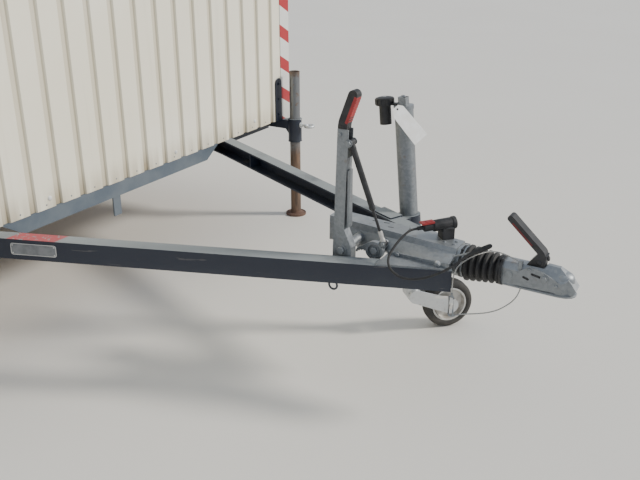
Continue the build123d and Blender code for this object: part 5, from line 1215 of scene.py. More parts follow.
@dataclass(frozen=True)
class Cables(Assembly):
    """The electric cable and the breakaway cable at the coupling, with plug, boot and hook.

    Attributes:
        rib, pin_ring: A grip rib on the plug's barrel, and the radius of the ring of contact pins.
        lid, lid_pad, lid_pin: The red lid, the pad on it and its hinge pin.
        hook_width, hook_wire: Outer width of the hook's ring, and radius of its wire.
        gate_wire: Radius of its gate's wire, which is also the gate's place beside the ring.
        ferrule_length, pressed: Length of the ferrule over the ring, and a ferrule's outline.
        loop: The breakaway cable's bow below the hook.
    """

    plug_body: Profile = (
        (0.018, 0.007), (0.020, 0.012), (0.024, 0.013), (0.047, 0.013), (0.049, 0.0165), (0.053, 0.0168),
    )
    plug_barrel: Profile = (
        (0.106, 0.0168), (0.107, 0.0186), (0.1165, 0.0188), (0.118, 0.0178), (0.118, 0.0150), (0.108, 0.0145),
    )
    plug_ribs: int = 14
    rib: Triple = (0.022, 0.0009, 0.0007)
    plug_pins: int = 7
    pin: Profile = ((0.0, 0.0013), (0.009, 0.0013), (0.010, 0.0006))
    pin_ring: float = 0.0085
    lid: Triple = (0.0185, 0.0110, 0.0028)
    lid_pad: Triple = (0.010, 0.0060, 0.0010)
    lid_pin: Profile = ((0.0, 0.0028), (0.022, 0.0028))
    sleeve: Profile = (
        (0.0, 0.0070), (0.006, 0.0078), (0.010, 0.0072), (0.044, 0.0071), (0.050, 0.0058), (0.0532, 0.0025),
    )
    hook_width: float = 0.018
    hook_wire: float = 0.0024
    gate_wire: float = 0.0016
    ferrule_length: float = 0.012
    pressed: Profile = (
        (0.0, 0.0024), (0.001, 0.0032), (0.004, 0.0029), (0.006, 0.0032), (0.0115, 0.0032), (0.0125, 0.0022),
    )
    electric: Cable = Cable(
        "electric_lead", "electric_cable", Slot.RUBBER, 0.0035, 0.425, FarEnd.PLUG,
        (
            (1.323, -0.060, 0.482), (1.305, -0.077, 0.474), (1.290, -0.097, 0.455), (1.273, -0.113, 0.443),
            (1.249, -0.132, 0.429), (1.221, -0.150, 0.417), (1.190, -0.164, 0.411), (1.161, -0.172, 0.411),
            (1.135, -0.173, 0.421), (1.116, -0.166, 0.434), (1.106, -0.151, 0.450), (1.107, -0.129, 0.467),
            (1.113, -0.104, 0.485), (1.124, -0.076, 0.503), (1.1321, -0.0579, 0.5099), (1.145, -0.044, 0.511),
        ),
    )
    strand: Cable = Cable(
        "breakaway_strand", "breakaway_cable", Slot.WIRE_ROPE, 0.00175, 0.265, FarEnd.FITTING,
        (
            (1.436, -0.022, 0.466), (1.417, -0.020, 0.472), (1.395, -0.018, 0.477), (1.372, -0.019, 0.480),
            (1.350, -0.026, 0.477), (1.330, -0.038, 0.471), (1.313, -0.053, 0.463), (1.299, -0.071, 0.454),
            (1.289, -0.089, 0.444), (1.284, -0.099, 0.428), (1.282, -0.102, 0.408), (1.281, -0.101, 0.386),
            (1.281, -0.100, 0.366),
        ),
    )
    loop: Cable = Cable(
        "breakaway_bow", "breakaway_loop", Slot.WIRE_ROPE, 0.00175, 0.222, FarEnd.FITTING,
        (
            (1.449, -0.020, 0.391), (1.446, -0.021, 0.373), (1.436, -0.026, 0.350), (1.418, -0.033, 0.331),
            (1.396, -0.040, 0.314), (1.371, -0.047, 0.303), (1.346, -0.055, 0.297), (1.322, -0.065, 0.294),
            (1.304, -0.076, 0.294), (1.290, -0.091, 0.293),
        ),
    )

    def build(self) -> None:
        """Lay the cables and model what is on them."""
        lead = self.electric.build(self.palette)
        strand = self.strand.build(self.palette)
        bow = self.loop.build(self.palette)
        plug = self.plug()
        boot = self.boot()
        self.electric.declare(lead, [plug, boot])
        self.strand.declare(strand, [self.ferrule()])
        self.loop.declare(bow, [self.hook()])

    def plug(self) -> Object:
        """Model the parked plug: bend relief, terminal body, ribbed barrel, pins and red lid.

        Returns:
            The plug.
        """
        tail = at(*self.electric.route[-1])
        aim = (tail - at(*self.electric.route[-2])).normalized()
        first, second = across_of(aim)
        shape = self.piece("parked_plug")
        rings = [(0.003 * step, 0.0052 + 0.0001 * step + 0.0008 * (step % 2)) for step in range(8)]
        shape.lathe(tail, aim, [(0.0, 0.0044), *rings], 24)
        shape.lathe(tail, aim, self.plug_body + self.plug_barrel, 40)
        for out in spokes(aim, self.plug_ribs):
            shape.block(tail + aim * 0.080 + out * 0.0166, self.rib, aim, out)
        shape.slot = 1
        for out in spokes(aim, self.plug_pins):
            shape.lathe(tail + aim * self.plug_barrel[0][0] + out * self.pin_ring, aim, self.pin, 10)
        shape.slot = 2
        lid = tail + aim * 0.032 + second * 0.0135
        shape.block(lid, self.lid, aim, second)
        shape.block(lid + second * 0.0030 + aim * 0.004, self.lid_pad, aim, second)
        shape.lathe(lid - aim * self.lid[0] - first * self.lid[1], first, self.lid_pin, 16)
        thing = shape.build(Slot.BLACK_PLASTIC, Slot.GALVANISED, Slot.RED_PLASTIC, bevel=0.0006)
        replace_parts(thing, "trailer_plug")
        return thing

    def boot(self) -> Object:
        """Model the tapered relief where the electric cable leaves its gland, and the gland's sleeve.

        Returns:
            The boot.
        """
        start = at(*self.electric.route[0])
        aim = (at(*self.electric.route[1]) - start).normalized()
        shape = self.piece("lead_relief")
        rows = [(0.002 * step, 0.0067 - 0.00018 * step - 0.0004 * (step % 2)) for step in range(12)]
        shape.lathe(start - aim * 0.001, aim, rows, 24)
        shape.lathe(start, -aim, self.sleeve, 28)
        return shape.build(Slot.RUBBER, bevel=0.0003)

    def ferrule(self) -> Object:
        """Model the pressed ferrule at the strand's end.

        Returns:
            The ferrule.
        """
        shape = self.piece("strand_ferrule")
        shape.lathe(at(*self.strand.route[-1]), -UP, self.pressed, 20)
        return shape.build(Slot.GALVANISED)

    def hook(self) -> Object:
        """Model the wire ring with its gate and the ferrule of the bow.

        Returns:
            The hook.
        """
        shape = self.piece("spring_hook")
        top = at(*self.strand.route[-1])
        low = at(*self.loop.route[-1])
        side = self.hook_width / 2 - self.hook_wire
        upper = top.z - self.ferrule_length - side
        lower = low.z + side
        middle = Vector((top.x, top.y, 0.0))
        arc = [radians(turn) for turn in range(0, 181, 15)]
        path = [middle + Vector((side * cos(turn), 0.0, upper + side * sin(turn))) for turn in arc]
        path += [middle + Vector((-side * cos(turn), 0.0, lower - side * sin(turn))) for turn in arc]
        shape.tube([*path, path[0]], self.hook_wire, 12)
        beside = Vector((0.0, -self.gate_wire, 0.0))
        shape.tube([path[1] + beside, path[-2] + beside], self.gate_wire, 10)
        shape.lathe(low, low - at(*self.loop.route[-2]), self.pressed, 20)
        thing = shape.build(Slot.GALVANISED)
        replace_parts(thing, "breakaway_hook")
        return thing


@dataclass(frozen=True)
class Coupling(Assembly):
    """Small pieces of the ball coupling, its handle and the overrun housing.

    Attributes:
        side, skirt: Distances of the coupling's side plates and of the housing's skirts from the middle.
        side_bolts: Distance ahead, height and radius of the side plates' bolts.
        slots, slot_radius: Distance ahead, height and half length of the slots, and their ends' radius; the
            slots are drawn as thin black plates, painted shade for the openings.
        crown, crown_foot: The round crown over the ball, and where it stands.
        lip, lip_nose: Distance ahead and half width of the head's flange, and its foremost point.
        lip_section: Inward share and height of the flange's section.
        knee, tip: Lower and upper end of the handle's grip.
        inlay, inlay_rib, flank: The grip's inlay, a finger rib on it, and the strip on each flank.
        bands, bellows_up: Distance ahead and radius of the bellows' bands, and their height.
    """

    side: float = 0.031
    side_bolts: tuple[Triple, ...] = (
        (1.512, 0.434, 0.0085), (1.470, 0.451, 0.00527), (1.545, 0.420, 0.004675),
    )
    pivot_disc: Profile = ((0.0, 0.0115), (0.0012, 0.0112), (0.0014, 0.009))
    slots: tuple[Triple, ...] = ((1.489, 0.438, 0.011), (1.462, 0.425, 0.006))
    slot_radius: float = 0.0033
    crown: Profile = (
        (0.0, 0.0275), (0.012, 0.0270), (0.022, 0.0242), (0.0285, 0.0185), (0.0320, 0.0110), (0.0330, 0.0030),
    )
    crown_foot: Triple = (1.5580, 0.0, 0.4210)
    lip: Profile = (
        (1.402, 0.0290), (1.460, 0.0315), (1.520, 0.0335), (1.552, 0.0345), (1.574, 0.0310), (1.588, 0.0210),
        (1.5935, 0.0100),
    )
    lip_nose: float = 1.5945
    lip_section: Profile = ((0, 0.3905), (0, 0.3950), (0.03, 0.3975), (0.03, 0.3905))
    socket_rim: Profile = ((0.0, 0.0295), (0.0012, 0.0300), (0.0030, 0.0296), (0.0034, 0.0262), (0.0, 0.0258))
    knee: Triple = (1.498, 0.0, 0.493)
    tip: Triple = (1.401, 0.0, 0.581)
    inlay: Triple = (0.047, 0.0105, 0.0012)
    inlay_rib: Triple = (0.0022, 0.00945, 0.0008)
    flank: Triple = (0.040, 0.0026, 0.0007)
    finger_ribs: int = 9
    button: Pair = (0.008, 0.003)
    skirt: float = 0.0862
    bellows_up: float = 0.422
    bands: Profile = ((1.272, 0.0452), (1.3885, 0.0415))

    def build(self) -> None:
        """Model the pieces."""
        self.head()
        self.handle()
        self.handle_buttons()
        self.housing()
        self.holder()
        self.bellows()

    def head(self) -> None:
        """Bolts on the coupling's side plates and slots drawn on them as thin black painted shade, its crown,
        its flange and the socket's rim.
        """
        shape = self.piece("coupling_hardware")
        for side in Side:
            shape.slot = 0
            for run, up, radius in self.side_bolts:
                shape.bolt(at(run, side.value * self.side, up), side.out, radius)
            shape.lathe(at(1.414, side.value * 0.028, 0.424), side.out, self.pivot_disc, 32)
            # Slots drawn as thin black discs and plates on the side plate's face: painted shade standing for
            # the openings.
            shape.slot = 1
            for run, up, half in self.slots:
                rear = at(run - half, side.value * self.side, up + 0.002)
                front = at(run + half, side.value * self.side, up - 0.002)
                for end in (rear, front):
                    shape.lathe(end, side.out, ((0.0, 0.0035), (0.0006, self.slot_radius)), 16)
                shape.block((rear + front) / 2, (half, self.slot_radius, 0.0006), front - rear, side.out)
        shape.slot = 0
        shape.lathe(at(*self.crown_foot), Vector((0.10, 0.0, 1.0)), self.crown, 48)
        outline = [*self.lip, (self.lip_nose, 0.0), *[(run, -across) for run, across in reversed(self.lip)]]
        shape.skin(
            [
                [at(run - inner * 0.3, across * (1.0 - 5.0 * inner), up) for inner, up in self.lip_section]
                for run, across in outline
            ]
        )
        shape.lathe(at(1.552, 0.0, 0.3952), -UP, self.socket_rim, 48, True)
        shape.build(Slot.GALVANISED, Slot.BLACK_PLASTIC, bevel=0.0003)

    def handle(self) -> None:
        """Red inlay on the grip's lower side, ribbed for the fingers, and a strip on each flank, in a darker
        red that is painted shade.
        """
        knee, tip = at(*self.knee), at(*self.tip)
        along = (tip - knee).normalized()
        out = along.cross(Side.LEFT.out)
        shape = self.piece("handle_inlay")
        middle = knee + (tip - knee) * 0.56 + out * 0.0087
        shape.block(middle, self.inlay, along, out)
        for rib in range(self.finger_ribs):
            offset = along * (0.009 * (rib - self.finger_ribs // 2))
            shape.block(middle + offset + out * 0.0013, self.inlay_rib, along, out)
        for side in Side:
            flank = knee + (tip - knee) * 0.60 + out * 0.0045 + Vector((0.0, side.value * 0.0160, 0.0))
            shape.block(flank, self.flank, along, side.out)
        shape.build(Slot.DULL_RED, bevel=0.0005)

    def handle_buttons(self) -> None:
        """Release button on each side of the handle's foot, and the stop in front of it."""
        shape = self.piece("handle_button")
        for side in Side:
            shape.dome(at(1.489, side.value * 0.016, 0.470), side.out, *self.button)
        stop = ((0.0, 0.007), (0.004, 0.007), (0.005, 0.005))
        shape.lathe(at(1.508, 0.0, 0.482), Vector((1.0, 0.0, 0.25)), stop, 20)
        shape.build(Slot.BLACK_PLASTIC, bevel=0.0004)

    def housing(self) -> None:
        """Bolts and grease nipple on the overrun housing, and slots on its top drawn as thin black painted
        shade.
        """
        shape = self.piece("housing_hardware")
        for side in Side:
            for run, up in ((1.226, 0.434), (1.105, 0.438)):
                shape.bolt(at(run, side.value * self.skirt, up), side.out, 0.0075)
            shape.bolt(at(1.245, side.value * 0.0115, 0.4708), UP, 0.0042)
        shape.bolt(at(1.2165, -0.010, 0.4723), UP, 0.0042)
        nipple = ((0, 0.004), (0.003, 0.004), (0.006, 0.002), (0.009, 0.0026))
        shape.lathe(at(1.10, 0.012, 0.4784), UP, nipple, 12)
        # Slots drawn as thin black plates on the housing's top: painted shade standing for the openings.
        shape.slot = 1
        for run, across in ((1.020, 0.018), (1.044, -0.004), (0.985, 0.012)):
            up = 0.4917 - 0.0537 * (run - 0.852)
            shape.block(at(run, across, up), (0.0085, 0.0024, 0.0007), Vector((1.0, 0.35, -0.0537)))
        shape.slot = 2
        for side in Side:
            shape.dome(at(1.229, side.value * self.skirt, 0.437), side.out, 0.0095, 0.0040)
        shape.slot = 0
        shape.bolt(at(1.043, -0.1062, 0.445), Side.RIGHT.out, 0.0115)
        shape.bolt(at(1.073, -0.1172, 0.473), Side.RIGHT.out, 0.0062)
        shape.build(Slot.GALVANISED, Slot.BLACK_PLASTIC, Slot.BRIGHT_ZINC, bevel=0.0004)

    def holder(self) -> None:
        """Black holder round the saddle that the parked plug lies in."""
        aim = Vector((0.676, 0.730, 0.058)).normalized()
        middle = at(1.145, -0.044, 0.511) + aim * 0.092
        level = Vector((aim.x, aim.y, 0.0))
        shape = self.piece("plug_holder")
        for side in Side:
            wall = Vector((-level.y, level.x, 0.0)).normalized() * side.value * 0.0162
            shape.block(Vector((middle.x, middle.y, 0.4900)) + wall, (0.0185, 0.0014, 0.0170), level)
            end = level.normalized() * side.value * 0.0178
            shape.block(Vector((middle.x, middle.y, 0.4860)) + end, (0.0012, 0.0165, 0.0130), level)
        shape.build(Slot.BLACK_PLASTIC, bevel=0.0008)

    def bellows(self) -> None:
        """Black bands that hold the bellows at its ends."""
        shape = self.piece("bellows_bands")
        for run, radius in self.bands:
            rows = ((0.0, radius), (0.0, radius + 0.0012), (0.007, radius + 0.0012), (0.007, radius))
            shape.lathe(at(run, 0.0, self.bellows_up), AHEAD, rows, 56, True)
            shape.block(at(run + 0.0035, -0.016, self.bellows_up + radius * 0.93), (0.0036, 0.007, 0.003))
        shape.build(Slot.BLACK_PLASTIC, bevel=0.0003)


@dataclass(frozen=True)
class Handbrake(Assembly):
    """Small pieces of the handbrake lever and its gas strut.

    Attributes:
        cheek, cheek_gap: Place of the lever's near cheek across, and the distance over both.
        bolts: Distance ahead, height and radius of the bolts.
        grip, grip_low, grip_high: Place of the grip across, and the ends of its insert.
        insert, insert_rib, ribs: The insert, a rib on it and their number.
        strut_top, strut_low: Eyes of the gas strut.
        gland, dust_ring, fork: The strut's collar at its rod, its upper ring and its forked end.
    """

    cheek: float = -0.153
    cheek_gap: float = 0.030
    bolts: tuple[Triple, ...] = ((0.978, 0.763, 0.0085), (0.960, 0.446, 0.0120), (0.952, 0.784, 0.0055))
    web: Triple = (0.0008, 0.0145, 0.085)
    grip: float = -0.138
    grip_low: Triple = (0.957, -0.138, 0.816)
    grip_high: Triple = (0.987, -0.138, 0.894)
    insert: Triple = (0.040, 0.0136, 0.0043)
    insert_rib: Triple = (0.0019, 0.0128, 0.0009)
    ribs: int = 9
    collar: Profile = ((0.0, 0.0152), (0.004, 0.0158), (0.009, 0.0150))
    strut_top: Triple = (0.978, -0.138, 0.763)
    strut_low: Triple = (1.073, -0.110, 0.473)
    gland: Profile = (
        (0.0, 0.0086), (0.001, 0.0094), (0.008, 0.0094), (0.010, 0.0078), (0.013, 0.0060), (0.015, 0.0044),
    )
    dust_ring: Profile = ((0.0, 0.0088), (0.002, 0.0092), (0.010, 0.0092), (0.012, 0.0086))
    fork: Profile = (
        (0.0, 0.0044), (0.002, 0.0066), (0.014, 0.0066), (0.016, 0.0062), (0.024, 0.0062), (0.026, 0.0072),
        (0.034, 0.0072),
    )

    def build(self) -> None:
        """Model the pieces."""
        self.lever()
        self.grip_insert()
        self.grip_button()
        self.strut()

    def lever(self) -> None:
        """Pivot bolts with their nuts on the other cheek, and the web between the cheeks."""
        shape = self.piece("lever_bolts")
        for run, up, radius in self.bolts:
            shape.bolt(at(run, self.cheek, up), Side.RIGHT.out, radius)
            shape.bolt(at(run, self.cheek + self.cheek_gap, up), Side.LEFT.out, radius * 0.9)
        shape.block(at(0.9765, self.grip, 0.600), self.web, Vector((1.0, 0.0, 0.03)))
        shape.build(Slot.GALVANISED, bevel=0.0004)

    def grip_insert(self) -> None:
        """Ribbed red insert on the grip's front."""
        low, high = at(*self.grip_low), at(*self.grip_high)
        along = (high - low).normalized()
        front = Side.LEFT.out.cross(along)
        shape = self.piece("grip_insert")
        middle = low + (high - low) * 0.52 + front * 0.0102
        shape.block(middle, self.insert, along, front)
        for rib in range(self.ribs):
            offset = 0.0082 * (rib - (self.ribs - 1) / 2)
            shape.block(middle + along * offset + front * 0.0044, self.insert_rib, along, front)
        shape.build(Slot.RED_PLASTIC, bevel=0.0007)

    def grip_button(self) -> None:
        """Button on the grip's top and the collar under the grip."""
        high = at(*self.grip_high)
        along = (high - at(*self.grip_low)).normalized()
        shape = self.piece("grip_button")
        shape.dome(high + along * 0.010, along, 0.0075, 0.004)
        shape.lathe(at(self.grip_low[0], self.grip, 0.8005), UP, self.collar, 28)
        shape.build(Slot.BLACK_PLASTIC, bevel=0.0004)

    def strut(self) -> None:
        """Collar, dust ring and forked end of the gas strut."""
        top, low = at(*self.strut_top), at(*self.strut_low)
        aim = (low - top).normalized()
        length = (low - top).length
        shape = self.piece("strut_collar")
        shape.lathe(top + aim * (0.65 * length - 0.010), aim, self.gland, 28)
        shape.lathe(top + aim * 0.010, aim, self.dust_ring, 28)
        shape.build(Slot.BLACK_PLASTIC, bevel=0.0003)
        shape = self.piece("strut_fork")
        shape.lathe(top + aim * (length - 0.040), aim, self.fork, 24)
        shape.build(Slot.WHEEL_STEEL, bevel=0.0003)


@dataclass(frozen=True)
class Drawbar(Assembly):
    """Small pieces on the drawbar's beams.

    Attributes:
        wall_y, nose: Place of a beam's web across at the wall, and along and across at its front end.
        fall: Fall of a beam over its run.
        plate, plate_place: Half length and height of the blank plate, and its place on the beam.
        plate_corner, border: Radius of its corners, and width of its bright border.
        rivet: Distances of its rivets from its middle.
        bolt_runs, bolt_ups: Places of the web's bolts along the beam, and their heights.
    """

    wall_y: float = 0.635
    nose: Pair = (1.272, 0.085)
    fall: float = 0.037
    plate: Pair = (0.070, 0.0185)
    plate_place: Pair = (0.155, 0.425)
    plate_corner: float = 0.007
    border: float = 0.0022
    rivet: Pair = (0.064, 0.0125)
    bolt_runs: Pair = (-0.055, -0.085)
    bolt_ups: Pair = (0.416, 0.440)

    def web(self, run: float, side: Side, up: float, lift: float) -> Vector:
        """Point on a beam's outer face, lifted off it."""
        across = self.wall_y - (self.wall_y - self.nose[1]) * run / self.nose[0]
        return at(run, side.value * across, up) + self.out(side) * lift

    def out(self, side: Side) -> Vector:
        """Direction out of a beam's web."""
        return Vector((self.wall_y - self.nose[1], side.value * self.nose[0], 0.0)).normalized()

    def along(self, side: Side) -> Vector:
        """Direction along a beam, forward and falling."""
        return Vector((self.nose[0], -side.value * (self.wall_y - self.nose[1]), -self.fall)).normalized()

    def build(self) -> None:
        """Model the pieces."""
        self.identity_plate()
        self.web_bolts()

    def identity_plate(self) -> None:
        """Blank identity plate with a bright border and four rivets, on the right beam."""
        shape = self.piece("identity_plate")
        out, along = self.out(Side.RIGHT), self.along(Side.RIGHT)
        up = out.cross(along) if out.cross(along).z > 0 else along.cross(out)
        middle = self.web(self.plate_place[0], Side.RIGHT, self.plate_place[1], 0.0)
        for shrink, lift, slot in ((0.0, 0.0006, 0), (self.border, 0.0010, 1)):
            shape.slot = slot
            wide, high, corner = self.plate[0] - shrink, self.plate[1] - shrink, self.plate_corner - shrink
            outline = []
            for quarter, (sign_x, sign_z) in enumerate(((1, 1), (-1, 1), (-1, -1), (1, -1))):
                for step in range(5):
                    turn = radians(90 * quarter + 22.5 * step)
                    outline.append(
                        middle
                        + along * (sign_x * (wide - corner) + corner * cos(turn))
                        + up * (sign_z * (high - corner) + corner * sin(turn))
                    )
            shape.prism(outline, out * lift)
        shape.slot = 0
        for sign_x in (-1, 1):
            for sign_z in (-1, 1):
                offset = along * (sign_x * self.rivet[0]) + up * (sign_z * self.rivet[1])
                shape.dome(middle + offset + out * 0.001, out, 0.0022, 0.0010)
        shape.build(Slot.WINDOW_FRAME, Slot.PLATE_GREY)

    def web_bolts(self) -> None:
        """Bolts through the beams' webs behind the sill."""
        shape = self.piece("drawbar_bolts")
        for side in Side:
            for run in self.bolt_runs:
                for up in self.bolt_ups:
                    shape.bolt(self.web(run, side, up, 0.0003), self.out(side), 0.008)
        shape.build(Slot.DRAWBAR, bevel=0.0004)


@dataclass(frozen=True)
class JockeyWheel(Assembly):
    """Small pieces of the jockey wheel.

    Attributes:
        foot, lean: Foot of the leg's axis, and its backward lean in degrees.
        turn, trail: Outward turn of the fork in degrees, and the axle's distance from the foot.
        hub_up, width: Height of the wheel's axle, and width of the tyre.
        shoulder: Rows of inset from the tyre's side and radius.
        grooves, groove: Places of the tread's grooves, and rows of place across one and radius.
        rim_edge, cap: The rim's pale ring and the hub's cap.
        face: Distance of the fork's outer face from its middle.
        fork_holes: Distance ahead of the foot, drop and radius of the fork's holes, drawn as thin black discs
            of painted shade.
        tube_top, crank_reach: Height of the tube's top, and the knob's distance behind it.
        tag, tag_faces, tag_loop: Corners of the blank tag, its direction, and its wire's points.
    """

    foot: Triple = (1.0083, 0.2720, 0.1375)
    lean: float = 5.5
    turn: float = 45.0
    trail: float = 0.130
    hub_up: float = 0.0875
    width: float = 0.050
    shoulder: Profile = ((0.004, 0.0624), (0.001, 0.066), (0.0, 0.073), (0.003, 0.0815), (0.009, 0.0862))
    grooves: Triple = (-0.0085, 0.0, 0.0085)
    groove: Profile = ((-0.0022, 0.0873), (-0.0014, 0.0847), (0.0014, 0.0847), (0.0022, 0.0873))
    rim_edge: Profile = ((0.0, 0.0560), (0.0016, 0.0565), (0.0022, 0.0600), (0.0012, 0.0622), (0.0, 0.0622))
    cap: Profile = ((0.0, 0.0172), (0.0014, 0.0168), (0.0020, 0.0120))
    face: float = 0.0336
    fork_holes: tuple[Triple, ...] = ((0.020, 0.006, 0.0042), (0.034, 0.030, 0.0036), (0.044, 0.029, 0.0026))
    tube_top: float = 0.7820
    crank_reach: float = 0.066
    knob_ribs: int = 12
    knob_rib: Triple = (0.0028, 0.0026, 0.0095)
    knob_cap: Profile = ((0.0, 0.0268), (0.0014, 0.0255), (0.0026, 0.0200), (0.0030, 0.0080))
    knob_screw: Profile = ((0.0, 0.0060), (0.0012, 0.0060), (0.0016, 0.0045))
    crank_hub: Triple = (0.0132, 0.0132, 0.0131)
    tag: tuple[Triple, ...] = (
        (0.9490, 0.1801, 0.7849), (0.9584, 0.2016, 0.7973), (0.9693, 0.2159, 0.7927),
        (1.0340, 0.2630, 0.7020), (1.0141, 0.2166, 0.6745), (0.9574, 0.1790, 0.7607),
    )
    tag_faces: Triple = (0.80, -0.52, 0.30)
    tag_loop: tuple[Triple, ...] = (
        (0.9592, 0.1960, 0.7850), (0.955, 0.206, 0.803), (0.950, 0.222, 0.803), (0.946, 0.2400, 0.7860),
    )

    def ahead(self) -> Vector:
        """Level direction that the fork points in."""
        return Vector((cos(radians(self.turn)), sin(radians(self.turn)), 0.0))

    def axle(self) -> Vector:
        """Direction of the wheel's axle, toward the drawbar."""
        return Vector((sin(radians(self.turn)), -cos(radians(self.turn)), 0.0))

    def up(self) -> Vector:
        """Direction up along the leg."""
        return Vector((-sin(radians(self.lean)), 0.0, cos(radians(self.lean))))

    def hub(self, out: float) -> Vector:
        """Point on the wheel's axle, at a distance out of its middle."""
        level = at(*self.foot) + self.ahead() * self.trail + self.axle() * out
        return Vector((level.x, level.y, self.hub_up))

    def top(self) -> Vector:
        """Top of the tube, on the leg's axis."""
        return at(*self.foot) + self.up() * ((self.tube_top - self.foot[2]) / self.up().z)

    def knob(self) -> Vector:
        """Foot of the crank's knob, behind the tube's top."""
        back = Vector((-cos(radians(self.lean)), 0.0, -sin(radians(self.lean))))
        return self.top() + back * self.crank_reach

    def build(self) -> None:
        """Model the pieces."""
        self.tyre()
        self.rim()
        self.fork()
        self.crank()
        self.blank_tag()

    def tyre(self) -> None:
        """Grooved solid tyre with a rounded shoulder."""
        half = self.width / 2
        shape = self.piece("jockey_tread")
        tread = [(inset - half, radius) for inset, radius in self.shoulder]
        tread += [(middle + offset, radius) for middle in self.grooves for offset, radius in self.groove]
        tread += [(half - inset, radius) for inset, radius in reversed(self.shoulder)]
        shape.lathe(self.hub(0.0), self.axle(), tread, 96, True)
        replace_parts(shape.build(Slot.TYRE, body=Carrier.JOCKEY_WHEEL), "jockey_tyre")

    def rim(self) -> None:
        """Pale ring and hub cap on each side of the rim."""
        shape = self.piece("jockey_rim_ring")
        for side in Side:
            out = self.axle() * side.value
            shape.lathe(self.hub(side.value * (self.width / 2 - 0.0043)), out, self.rim_edge, 72, True)
            shape.lathe(self.hub(side.value * self.width / 2), out, self.cap, 32)
        shape.build(Slot.WHITE_PAINT, body=Carrier.JOCKEY_WHEEL)

    def fork(self) -> None:
        """Holes drawn as thin black discs of painted shade, pressed ribs and axle nuts on the fork's two
        plates.
        """
        shape = self.piece("fork_details")
        foot, ahead = at(*self.foot), self.ahead()
        for side in Side:
            out = self.axle() * side.value
            shape.slot = 0
            shape.bolt(self.hub(side.value * self.face), out, 0.0088)
            middle = foot + ahead * 0.092 + out * self.face - UP * 0.012
            shape.block(middle, (0.024, 0.0046, 0.0016), ahead - UP * 0.16, out)
            # Holes drawn as thin black discs on the plate's face: painted shade standing for the openings.
            shape.slot = 1
            for along, drop, radius in self.fork_holes:
                place = foot + ahead * along + out * (self.face - 0.0002) - UP * drop
                shape.lathe(place, out, ((0.0, radius), (0.0007, radius), (0.0008, radius * 0.7)), 18)
        shape.build(Slot.WHITE_PAINT, Slot.BLACK_PLASTIC, bevel=0.0005, body=Carrier.JOCKEY_LEG)

    def crank(self) -> None:
        """Ribs, screw and edge ring of the crank's knob, and the cap bolt of the tube."""
        up, top, knob = self.up(), self.top(), self.knob()
        shape = self.piece("knob_ribs")
        for out in spokes(up, self.knob_ribs):
            shape.block(knob + out * 0.0282 + up * 0.011, self.knob_rib, out, up)
        shape.lathe(knob + up * 0.0220, up, self.knob_cap, 40)
        shape.build(Slot.BLACK_PLASTIC, bevel=0.0006)
        shape = self.piece("crank_bolt")
        shape.block(top + up * 0.0132, self.crank_hub, AHEAD, up)
        shape.bolt(top + up * 0.0262, up, 0.0062)
        shape.lathe(knob + up * 0.0246, up, self.knob_screw, 20)
        shape.build(Slot.GALVANISED, bevel=0.0003)

    def blank_tag(self) -> None:
        """Blank white tag on a loop of wire at the tube's top."""
        out = Vector(self.tag_faces).normalized()
        shape = self.piece("blank_tag")
        shape.prism([at(*corner) for corner in self.tag], out * 0.0006)
        shape.slot = 1
        eyelet = ((0.0, 0.0034), (0.0006, 0.0033), (0.0008, 0.0018))
        shape.lathe(at(*self.tag_loop[0]) + out * 0.0006, out, eyelet, 20)
        shape.tube([at(*point) for point in self.tag_loop], 0.0009, 8)
        shape.build(Slot.PAPER, Slot.BLACK_PLASTIC)


